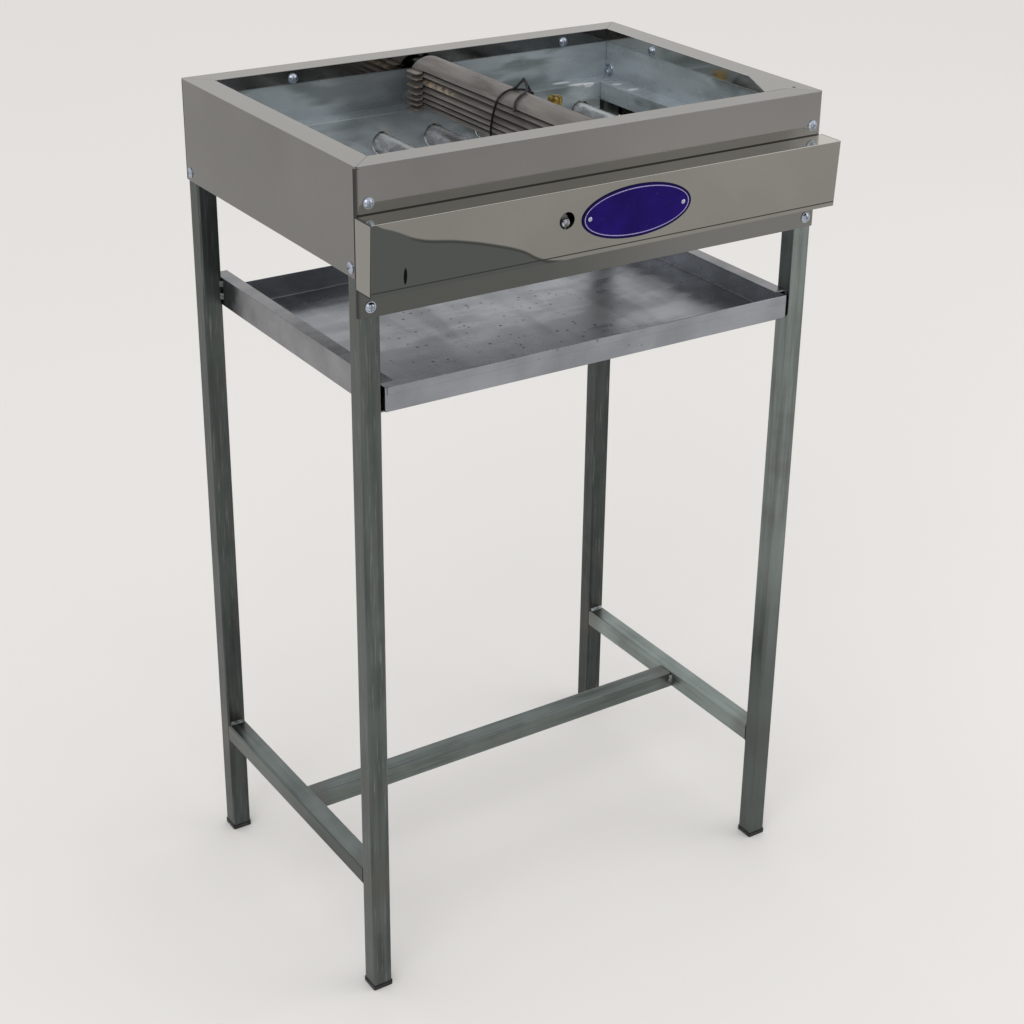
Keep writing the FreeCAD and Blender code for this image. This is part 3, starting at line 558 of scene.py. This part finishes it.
# ---- operators ----------------------------------------------------------------------------
class GRILL_OT_stage(bpy.types.Operator):
    """Camera, floor, lamps and world"""
    bl_idname = "grill.stage"
    bl_label = "Stage"

    def execute(self, context):
        shot, stage = context.scene.grill.camera, context.scene.grill.stage
        scene = context.scene
        scene.view_settings.view_transform = "Standard"
        place, target = Vector(shot.place), Vector(shot.target)
        forward = (target - place).normalized()
        right = forward.cross(Vector((0, 0, 1))).normalized()
        up = right.cross(forward)
        c, s = math.cos(shot.roll), math.sin(shot.roll)
        axes = Matrix((c * right + s * up, c * up - s * right, -forward)).transposed().to_4x4()
        axes.translation = place
        camera = bpy.data.cameras.new("camera")
        camera.lens, camera.sensor_width = shot.lens, SENSOR_WIDTH
        camera.shift_x, camera.shift_y = shot.shift
        camera.clip_end = 100.0
        view = bpy.data.objects.new("camera", camera)
        view.matrix_world = axes
        scene.collection.objects.link(view)
        scene.camera = view

        select_nothing()
        bpy.ops.mesh.primitive_circle_add(vertices=RING_STEPS, radius=stage.floor_radius,
                                          fill_type="NGON")
        floor = context.object
        floor.name = "floor"
        made, tree, shader = new_material("floor_paper", 0.0, 0.85)
        finish_shader(tree, shader, mix(tree, noise(tree, 900, 2.0),
                                        toned(stage.floor_colour, 0.985), list(stage.floor_colour)))
        floor.data.materials.append(made)

        for name, power, size, at in LAMPS:
            lamp = bpy.data.lights.new(name, "AREA")
            lamp.energy, lamp.size = getattr(stage, power), size
            held = bpy.data.objects.new(name, lamp)
            held.location = at
            held.rotation_euler = (Vector(at) - Vector(LAMP_AIM)).to_track_quat("Z", "Y").to_euler()
            scene.collection.objects.link(held)

        world = bpy.data.worlds.new("studio")
        world.use_nodes = True
        scene.world = world
        tree = world.node_tree
        ground = tree.nodes["Background"]
        toward = add_node(tree, "ShaderNodeTexCoord").outputs["Generated"]
        height = add_node(tree, "ShaderNodeSeparateXYZ", {"Vector": toward}).outputs["Z"]
        shade = mix(tree, ramp(tree, height, 0.1, 0.9), "e9e7e4", "fcfdff")
        rays = add_node(tree, "ShaderNodeLightPath").outputs
        seen = calc(tree, "MAXIMUM", rays["Is Camera Ray"], rays["Is Transmission Ray"])
        tree.links.new(mix(tree, seen, shade, list(stage.floor_colour)), ground.inputs["Color"])
        strength = ramp(tree, seen, 0.0, 1.0, stage.ambient, 1.0)
        tree.links.new(strength, ground.inputs["Strength"])
        return {"FINISHED"}


class GRILL_OT_stand(bpy.types.Operator):
    """Finish the welded stand: legs, rails, stretcher, weld beads and foot caps"""
    bl_idname = "grill.stand"
    bl_label = "Stand"

    def execute(self, context):
        tone = list(context.scene.grill.finish.tube)
        corners = [f"{end}_{side}" for end in ("front", "rear") for side in ("left", "right")]
        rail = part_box("lower_rail_left")
        rail_z = (rail[0].z + rail[1].z) / 2 / MM

        def darker_low(tree):
            """The front right leg is darker near the floor."""
            return ramp(tree, axis_mm(tree, 2), LEG_DARKEN_FROM, LEG_DARKEN_TO, 0.0, 0.7)

        def side_in_shade(tree):
            """Painted shade on the outer side of the left rail, deepest towards its front end."""
            return both(tree, facing(tree, "X", -1),
                        ramp(tree, axis_mm(tree, 1), 60.0, -60.0, 0.3, 0.9))

        for corner, gain in zip(corners, LEG_LIGHT_GAINS):
            marks = [(darker_low, toned(tone, 0.6))] if corner == "front_right" else []
            paint(galvanised_tube(f"galvanised_{corner}_leg", toned(tone, gain), 2,
                                  [(2, rail_z, WELD_HEAT)], marks), f"leg_{corner}")
        joints = [(1, end.y / MM, WELD_HEAT) for end in rail]
        # The gains of the rails and the stretcher are painted light and shade too.
        paint(galvanised_tube("galvanised_left_rail", toned(tone, 1.15), 1, joints,
                              [(side_in_shade, toned(tone, 0.5))]), "lower_rail_left")
        paint(galvanised_tube("galvanised_right_rail", toned(tone, 1.9), 1, joints),
              "lower_rail_right")
        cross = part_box("centre_stretcher")
        paint(galvanised_tube("galvanised_stretcher_tube", toned(tone, 1.05), 0,
                              [(0, end.x / MM, STRETCHER_HEAT) for end in cross]),
              "centre_stretcher")
        paint(turned_fitting("weld_metal", "4c5052", "8b8f90"), "weld_beads")
        paint(black_plastic("moulded_black_polypropylene"),
              *[f"foot_cap_{corner}" for corner in corners])
        return {"FINISHED"}


class GRILL_OT_casing(bpy.types.Operator):
    """Finish the stainless casing and the control cover"""
    bl_idname = "grill.casing"
    bl_label = "Casing and cover"

    def execute(self, context):
        finish = context.scene.grill.finish
        tone = list(finish.casing)
        # Painted reflection: a much brighter tone for the rim's inner lips.
        bright = toned(tone, 3.8)
        lip_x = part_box("front_panel")[1].x / MM - LIP_REACH

        def lip_glare(tree):
            """Painted reflection: the rim's inner lips are made much brighter."""
            return both(tree, ramp(tree, across(tree), lip_x + 2.0, lip_x + 1.5),
                        ramp(tree, axis_mm(tree, 2), LIP_Z, LIP_Z + 1.0),
                        calc(tree, "SUBTRACT", 1.0, facing(tree, "Z", 1)))

        def spare_hole(tree):
            """Near-black round the spare hole in the right rim."""
            return ramp(tree, spot(tree, SPARE_HOLE, (2.8, 2.8, 6)), 0.1, 0.35)

        # The gain after the tone is painted light on the faces that look up.
        paint(stainless_sheet("stainless_2b_side_sheet", tone, 1.62,
                              [(lip_glare, bright), (spare_hole, "121212")]),
              "left_panel", "right_panel")
        paint(stainless_sheet("stainless_2b_rear_sheet", tone, 1.62), "rear_panel")

        def sheen_to_right(tree):
            """Painted reflection: the front sheet grows lighter towards its right end."""
            return ramp(tree, axis_mm(tree, 0), -120.0, 120.0, 0.0, 0.6)

        def end_bend_shade(tree):
            """Painted shade in the joints at the front sheet's bent ends."""
            return ramp(tree, across(tree), END_BEND_X, END_BEND_X + 2.0, 0.0, 0.75)

        def joint_line(tree):
            """Black line where the cover's top meets the front sheet."""
            return both(tree, band(tree, axis_mm(tree, 2), COVER_LINE_Z, 0.3, 0.6),
                        ramp(tree, across(tree), END_BEND_X + 2.5, END_BEND_X + 1.5))

        def under_cover(tree):
            """Shaded strip of the front sheet under the cover, clearer towards its right end."""
            return both(tree, ramp(tree, axis_mm(tree, 2), UNDER_COVER_Z, UNDER_COVER_Z - 1.5),
                        facing(tree, "Y", -1),
                        ramp(tree, axis_mm(tree, 0), -90.0, 150.0, 0.8, 0.35))

        paint(stainless_sheet("stainless_2b_front_sheet", tone, 1.62, [
            (sheen_to_right, toned(tone, 1.3)), (end_bend_shade, "1c1d1c"),
            (joint_line, "3c3c39"), (under_cover, "4e504e")], (14, 1, 1)), "front_panel")

        def under_border(tree):
            """How far a point is under the border of the painted reflection, in mm."""
            along = ramp(tree, axis_mm(tree, 0), REFLECTION_LEFT, REFLECTION_LEFT + REFLECTION_WIDTH)
            along.node.interpolation_type = "LINEAR"
            curve = add_node(tree, "ShaderNodeFloatCurve", {"Value": along})
            line = curve.mapping.curves[0]
            for x, z in REFLECTION_BORDER:
                line.points.new((x - REFLECTION_LEFT) / REFLECTION_WIDTH, (z - REFLECTION_FOOT) / REFLECTION_HEIGHT)
            line.points[0].location = (0.0, 1.0)
            line.points[-1].location = (1.0, 0.04)
            curve.mapping.update()
            height = calc(tree, "MULTIPLY_ADD", curve.outputs["Value"], REFLECTION_HEIGHT, REFLECTION_FOOT)
            return calc(tree, "SUBTRACT", height, axis_mm(tree, 2))

        def reflection_patch(tree):
            """Painted reflection: a darker area on the low left of the cover's face."""
            return both(tree, ramp(tree, under_border(tree), -0.8, 0.8), facing(tree, "Y", -1))

        def reflection_rim(tree):
            """Darker line along the painted reflection's border, painted with it."""
            return both(tree, band(tree, under_border(tree), 0.8, 0.7, 1.6), facing(tree, "Y", -1),
                        ramp(tree, axis_mm(tree, 0), -225.0, -205.0, 0.0, 0.5),
                        ramp(tree, axis_mm(tree, 0), -64.0, -58.0, 1.0, 0.0))

        def scratch(tree):
            """One short black scratch within the painted reflection."""
            return ramp(tree, spot(tree, SCRATCH, (2.2, 60, 9.5)), 0.1, 0.35)

        def lower_line(tree):
            """Hairline just above the cover's lower edge."""
            return both(tree, band(tree, axis_mm(tree, 2), HAIRLINE_Z, 0.35, 0.4),
                        facing(tree, "Y", -1))

        def lit_cheeks(tree):
            """Painted light: the cheeks are made lighter."""
            return calc(tree, "MAXIMUM", facing(tree, "X", -1), facing(tree, "X", 1))

        def cheek_gap_shade(tree):
            """Painted shade of the gaps: black lines round the cover's cheeks."""
            low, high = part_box("control_cover")
            half = (high.z - low.z) / 2 / MM
            away = distance(tree, axis_mm(tree, 2), (low.z + high.z) / 2 / MM)
            edge_z = ramp(tree, away, half - 1.4, half - 0.9)
            depth = calc(tree, "SUBTRACT", axis_mm(tree, 1), low.y / MM)
            under_top = calc(tree, "SUBTRACT", high.z / MM, axis_mm(tree, 2))
            tuck = calc(tree, "MULTIPLY", under_top, COVER_LEAN)
            edge_y = ramp(tree, calc(tree, "SUBTRACT", depth, tuck), 1.6, 1.1)
            return both(tree, calc(tree, "MAXIMUM", edge_z, edge_y), lit_cheeks(tree))

        cover = list(finish.cover)
        paint(stainless_sheet("stainless_2b_cover_sheet", cover, 2.5, [
            (reflection_patch, "555856"), (reflection_rim, "2e302f"), (scratch, "151414"),
            (lower_line, "3b3c3a"), (lit_cheeks, toned(cover, 1.2)),
            (cheek_gap_shade, "0c0c0c")], (14, 1, 1)), "control_cover")
        return {"FINISHED"}


class GRILL_OT_burners(bpy.types.Operator):
    """Finish the liner, the burner tubes and the gas pipework"""
    bl_idname = "grill.burners"
    bl_label = "Liner and burners"

    def execute(self, context):
        finish = context.scene.grill.finish
        tone = list(finish.liner)

        def reflection_streaks(tree):
            """Painted reflection: bright streaks drawn out along the sheet, over its right half."""
            streaks = ramp(tree, noise(tree, 16, 2.0, (5, 5, 1)), 0.36, 0.66, 0.2, 1.0)
            return both(tree, ramp(tree, axis_mm(tree, 0), -20.0, 190.0), streaks)

        def dull(tree):
            """Painted shade: darker patches drawn out along the sheet."""
            return ramp(tree, noise(tree, 26, 2.0, (4, 4, 1), 0.4), 0.5, 0.68, 0.0, 0.65)

        def hat_side_shade(tree):
            """Painted shade on the sheet beside the hats."""
            return ramp(tree, spot(tree, HAT_SIDE_SHADE_SPOT, (70, 90, 60)), 0.0, 0.6, 0.0, 0.8)

        def ledge_glints(tree):
            """Painted highlights on the ledge near the rear corner."""
            dots = [spot(tree, (x, REAR_Y - y, LEDGE_GLINT_Z), (half, 4.5, 5))
                    for x, y, half in LEDGE_GLINTS]
            total = dots[0]
            for dot in dots[1:]:
                total = calc(tree, "MAXIMUM", total, dot)
            return ramp(tree, total, 0.05, 0.45, 0.0, 0.9)

        # Painted reflection, painted shade and painted highlights, laid over the zinc's own tone.
        marks = [(reflection_streaks, toned(tone, 1.3)), (dull, "59625f"), (hat_side_shade, toned(tone, 0.5)),
                 (ledge_glints, "f2f6f8")]
        paint(galvanised_sheet("hot_dip_galvanised_liner", tone, marks, 0.03, metallic=0.3),
              "liner_left", "liner_right", "liner_front", "liner_rear")
        paint(burner_steel("aluminised_burner_steel"),
              *[f"burner_tube_{n}" for n in range(1, 8)], "gas_rail", "gas_rail_plugs")
        paint(turned_fitting("turned_brass", "8f7430", "dfc36a"),
              "injectors", "hose_nozzle", "brass_fitting")
        paint(turned_fitting("nickel_plated_brass", "6b6a68", "8d8c89"), "gas_valve_body")
        paint(turned_fitting("zinc_plated_spindle", "54575b", "b9bcc2"), "valve_spindle")
        return {"FINISHED"}


class GRILL_OT_tray(bpy.types.Operator):
    """Finish the drip tray and its guides"""
    bl_idname = "grill.tray"
    bl_label = "Drip tray"

    def execute(self, context):
        finish = context.scene.grill.finish

        def crumbs(tree):
            """Burnt crumbs, 1 to 3 mm across, over the middle of the tray."""
            dots = add_node(tree, "ShaderNodeTexVoronoi", {
                "Vector": mapped(tree, [1 / (CRUMB_CELL * MM)] * 3),
                "Scale": 1.0}).outputs["Distance"]
            few = ramp(tree, noise(tree, 11, 1.0), 0.47, 0.53)
            dark = ramp(tree, dots, 0.24, 0.13, 0.0, 0.95)
            return both(tree, dark, few,
                        ramp(tree, spot(tree, CRUMB_SPOT, (190, 170, 60)), 0.1, 0.5))

        def light_between_burners(tree):
            """Painted light: paler bands across the floor, where light falls between the burners
            above.
            """
            bands = ramp(tree, noise(tree, 34, 1.0, (1, 7, 1), 0.3), 0.46, 0.6, 0.0, 0.4)
            return both(tree, bands, facing(tree, "Z", 1),
                        ramp(tree, axis_mm(tree, 0), -225.0, -190.0))

        paint(galvanised_sheet("hot_dip_galvanised_tray", list(finish.tray),
                               [(light_between_burners, "b4b8be"), (crumbs, "1c1a19")], 0.05, (0.22, 0.34)),
              "drip_tray")
        paint(galvanised_sheet("hot_dip_galvanised_guide", list(finish.guide)),
              "tray_guide_left", "tray_guide_right")
        return {"FINISHED"}


class GRILL_OT_fasteners(bpy.types.Operator):
    """Finish the screws and rivets"""
    bl_idname = "grill.fasteners"
    bl_label = "Screws and rivets"

    def execute(self, context):
        paint(zinc_plate("zinc_plated_steel"), "side_screws", "front_screws", "rear_screws",
              "lip_screws", "liner_rivets", "cover_rivets", "nameplate_rivets")
        return {"FINISHED"}


class GRILL_OT_nameplate(bpy.types.Operator):
    """Finish the blank nameplate and lay the printed line round it"""
    bl_idname = "grill.nameplate"
    bl_label = "Nameplate"

    def execute(self, context):
        finish = context.scene.grill.finish
        low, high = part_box("nameplate")
        middle = (low + high) / 2
        half_x, half_z = (high.x - low.x) / 2, (high.z - low.z) / 2
        paint(blue_enamel("indigo_stove_enamel", list(finish.plate), list(finish.plate_line),
                          [c / MM for c in middle], (half_x / MM, 500, half_z / MM)), "nameplate")
        line, thick, inset, lift = 0.85 * MM, 0.12 * MM, 2.5 * MM, 0.42 * MM
        select_nothing()
        bpy.ops.mesh.primitive_circle_add(vertices=RING_STEPS, radius=1.0, fill_type="NOTHING",
                                          location=middle, rotation=(math.pi / 2, 0, 0))
        piece = context.object
        piece.scale = (half_x - inset, half_z - inset, 1)
        bpy.ops.object.transform_apply(location=True, rotation=True, scale=True)
        edit("EDGE")
        bpy.ops.mesh.select_all(action="SELECT")
        bpy.ops.mesh.extrude_edges_move()
        share = (1 - line / (half_x - inset), 1, 1 - line / (half_z - inset))
        bpy.ops.transform.resize(value=share, center_override=middle)
        bpy.ops.mesh.select_all(action="SELECT")
        bpy.ops.mesh.normals_make_consistent(inside=False)
        bpy.ops.transform.rotate(value=-math.atan(COVER_LEAN), orient_axis="X",
                                 center_override=middle)
        slide((0, -lift, 0))
        bpy.ops.object.mode_set(mode="OBJECT")
        apply_modifier("SOLIDIFY", thickness=thick, offset=0.0)
        paper, tree, shader = new_material("lilac_screen_print", 0.0, 0.4)
        finish_shader(tree, shader, mix(tree, ramp(tree, noise(tree, 2.0), 0.3, 0.7),
                                        list(finish.plate_line), toned(finish.plate_line, 0.6)))
        settle(piece, "nameplate_line", paper, "stand")
        return {"FINISHED"}


class GRILL_OT_hats(bpy.types.Operator):
    """Model one burner hat and stack seven of them"""
    bl_idname = "grill.hats"
    bl_label = "Burner hats"

    def execute(self, context):
        sizes = context.scene.grill.hats
        tone = list(context.scene.grill.finish.hats)
        low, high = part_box("burner_hat_1")
        first = self.model(sizes, low.y, high.y, high.z - sizes.sheet / 2 - sizes.rise)
        stack = [first] + [copy_of(first) for _ in range(HATS - 1)]
        for number, piece in enumerate(stack, 1):
            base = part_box(f"burner_hat_{number}")[0].z
            piece.location.z += base - low.z
            shade_within = None
            if number < HATS:
                over_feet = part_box(f"burner_hat_{number + 1}")[0].z - base - sizes.shade_drop
                radius = arch_radius(sizes)
                shade_within = math.sqrt(radius ** 2 - (radius - sizes.rise + over_feet) ** 2) / MM
            settle(piece, f"hat_{number}", raw_steel(f"uncoated_steel_{number}", tone, shade_within),
                   "hat_bundle")
            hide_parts(f"burner_hat_{number}")
        return {"FINISHED"}

    @staticmethod
    def model(sizes, front, back, foot_z):
        """Arch extruded strip by strip, then a step down and a flat ear at its four ends."""
        half, radius = sizes.half_width, arch_radius(sizes)
        sweep = math.asin(half / radius)
        angles = [sweep * (2 * i / sizes.arch_steps - 1) for i in range(sizes.arch_steps + 1)]
        points = [(radius * math.sin(a), foot_z + sizes.rise - radius * (1 - math.cos(a)))
                  for a in angles]
        middle = (front + back) / 2
        select_nothing()
        bpy.ops.mesh.primitive_plane_add(size=1, location=(0, middle, 0))
        edit("EDGE")
        bpy.ops.transform.resize(value=(sizes.sheet, back - front, 1),
                                 center_override=(0, middle, 0))
        for way, (x, z) in ((-1, points[0]), (1, points[1])):
            select_where(lambda co: co.x * way > 0)
            slide((x - way * sizes.sheet / 2, 0, z))
        for (x, z), (next_x, next_z) in zip(points[1:], points[2:]):
            select_where(lambda co: near(co.x, x) and near(co.z, z), "edges")
            bpy.ops.mesh.extrude_edges_move(
                TRANSFORM_OT_translate={"value": (next_x - x, 0, next_z - z)})
        ears = ((front, front + sizes.ear_length), (back - sizes.ear_length, back))
        for y in (ears[0][1], ears[1][0], *[sum(ear) / 2 for ear in ears]):
            bpy.ops.mesh.select_all(action="SELECT")
            bpy.ops.mesh.bisect(plane_co=(0, y, 0), plane_no=(0, 1, 0))
        bpy.ops.mesh.select_mode(type="EDGE")
        for low_y, high_y in ears:
            for side in (-1, 1):
                x, z = side * half, foot_z
                for step_x, step_z in ((0, -sizes.ear_drop), (side * (sizes.ear_half - half), 0)):
                    select_where(lambda co: near(co.x, x) and near(co.z, z)
                                 and low_y - NEAR < co.y + middle < high_y + NEAR, "edges")
                    bpy.ops.mesh.extrude_edges_move(
                        TRANSFORM_OT_translate={"value": (step_x, 0, step_z)})
                    x, z = x + step_x, z + step_z
        bpy.ops.mesh.select_mode(type="VERT")
        select_where(lambda co: near(abs(co.x), sizes.ear_half)
                     and any(near(co.y + middle, sum(ear) / 2) for ear in ears))
        slide((0, 0, -sizes.ear_dip))
        select_where(lambda co: near(abs(co.x), sizes.ear_half)
                     and any(near(co.y + middle, end) for ear in ears for end in ear))
        bpy.ops.mesh.bevel(offset=sizes.ear_corner, segments=4, affect="VERTICES")
        bpy.ops.mesh.select_all(action="SELECT")
        bpy.ops.mesh.normals_make_consistent(inside=False)
        bpy.ops.object.mode_set(mode="OBJECT")
        apply_modifier("SOLIDIFY", thickness=sizes.sheet, offset=0.0, use_even_offset=True)
        apply_modifier("BEVEL", width=sizes.edge_break, segments=2, limit_method="ANGLE",
                       angle_limit=math.radians(50))
        return bpy.context.object


class GRILL_OT_wire(bpy.types.Operator):
    """Bend the tie wire round the hats, twist it and leave its tail"""
    bl_idname = "grill.wire"
    bl_label = "Tie wire"

    def execute(self, context):
        sizes = context.scene.grill.wire
        hats = context.scene.grill.hats
        off, front = sizes.stand_off, FRONT_Y * MM
        side = hats.half_width + off
        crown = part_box(f"burner_hat_{HATS}")[1].z - hats.sheet / 2 + off
        foot = crown - off - hats.rise
        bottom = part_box("tie_wire")[0].z + sizes.radius
        # Bends: x, y from the front sheet, z from the lowest bend or the topmost hat, in m.
        peak = (.0083, front + .147, crown + .0093)
        half_way = (bottom + foot) / 2
        loop = [(side, front + .156, bottom), (0, front + .158, bottom - .0002),
                (-side, front + .1594, bottom), (-side, front + .1592, bottom + .012),
                (-side, front + .1559, half_way + .006),
                (-side - .0002, front + .1514, foot - .0043),
                (-side - .0004, front + .1479, foot + .0030),
                (-.0142, front + .1505, crown - .0036), (-.0075, front + .1495, crown - .0004),
                (-.0017, front + .1472, crown + .0006), (.003, front + .147, crown + .0048), peak]
        rest = [peak, (.0146, front + .1466, crown - .0012),
                (side + .0004, front + .1464, foot - .0022),
                (side + .0003, front + .1480, foot - .009), (side + .0003, front + .1515, half_way),
                (side + .0002, front + .155, bottom + .012), (side, front + .156, bottom)]
        twist = [(-.0052, front + .1478, crown), (0, front + .1458, crown + .0032),
                 (.0032, front + .1484, crown + .0048), (.0060, front + .1460, crown + .0072), peak]
        over = [(-.0050, front + .1490, crown), (.004, front + .1450, crown + .0002),
                (.0098, front + .1425, crown - .0014), (.0150, front + .1400, crown - .0040)]
        tail = [peak, (.0064, front + .1375, crown + .0040), (.0005, front + .1310, crown + .0008),
                (-.0065, front + .128, crown - .0002), (-.0130, front + .126, crown - .0030),
                (-.0180, front + .122, foot + .0050), (-.0208, front + .1185, foot - .0015)]
        curve = bpy.data.curves.new("tie_wire_line", "CURVE")
        curve.dimensions = "3D"
        curve.bevel_depth, curve.bevel_resolution, curve.use_fill_caps = sizes.radius, 4, True
        for points in (loop, rest, twist, over, tail):
            spline = curve.splines.new("NURBS")
            spline.points.add(len(points) - 1)
            for point, co in zip(spline.points, points):
                point.co = (*co, 1)
            spline.order_u, spline.use_endpoint_u, spline.resolution_u = 3, True, 8
        piece = bpy.data.objects.new("tie_wire_line", curve)
        context.scene.collection.objects.link(piece)
        select_nothing()
        piece.select_set(True)
        context.view_layer.objects.active = piece
        bpy.ops.object.convert(target="MESH")
        settle(context.object, "tie_wire_bent", annealed_wire("black_annealed_wire"),
               "hat_bundle", smooth_deg=60.0)
        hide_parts("tie_wire")
        return {"FINISHED"}


class GRILL_PT_panel(bpy.types.Panel):
    """Lists the grill's operators and settings"""
    bl_label = "Standing Gas Grill"
    bl_space_type = "VIEW_3D"
    bl_region_type = "UI"
    bl_category = "Grill"

    def draw(self, context):
        settings = context.scene.grill
        for operator in OPERATORS:
            self.layout.operator(operator.bl_idname)
        for group in (settings.camera, settings.stage, settings.hats, settings.wire,
                      settings.finish):
            box = self.layout.box()
            for name in group.__annotations__:
                box.prop(group, name)


OPERATORS = (GRILL_OT_stage, GRILL_OT_stand, GRILL_OT_casing, GRILL_OT_burners, GRILL_OT_tray,
             GRILL_OT_fasteners, GRILL_OT_nameplate, GRILL_OT_hats, GRILL_OT_wire)
CLASSES = (GRILL_PG_camera, GRILL_PG_stage, GRILL_PG_hats, GRILL_PG_wire, GRILL_PG_finish,
           GRILL_PG_settings, *OPERATORS, GRILL_PT_panel)


def register():
    for cls in CLASSES:
        bpy.utils.register_class(cls)
    bpy.types.Scene.grill = PointerProperty(type=GRILL_PG_settings)


def unregister():
    del bpy.types.Scene.grill
    for cls in reversed(CLASSES):
        bpy.utils.unregister_class(cls)


def main():
    """Build everything round the frame."""
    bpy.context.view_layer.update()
    register()
    for operator in (bpy.ops.grill.stage, bpy.ops.grill.stand, bpy.ops.grill.casing,
                     bpy.ops.grill.burners, bpy.ops.grill.tray, bpy.ops.grill.fasteners,
                     bpy.ops.grill.nameplate, bpy.ops.grill.hats, bpy.ops.grill.wire):
        operator()


if __name__ == "__main__":
    main()
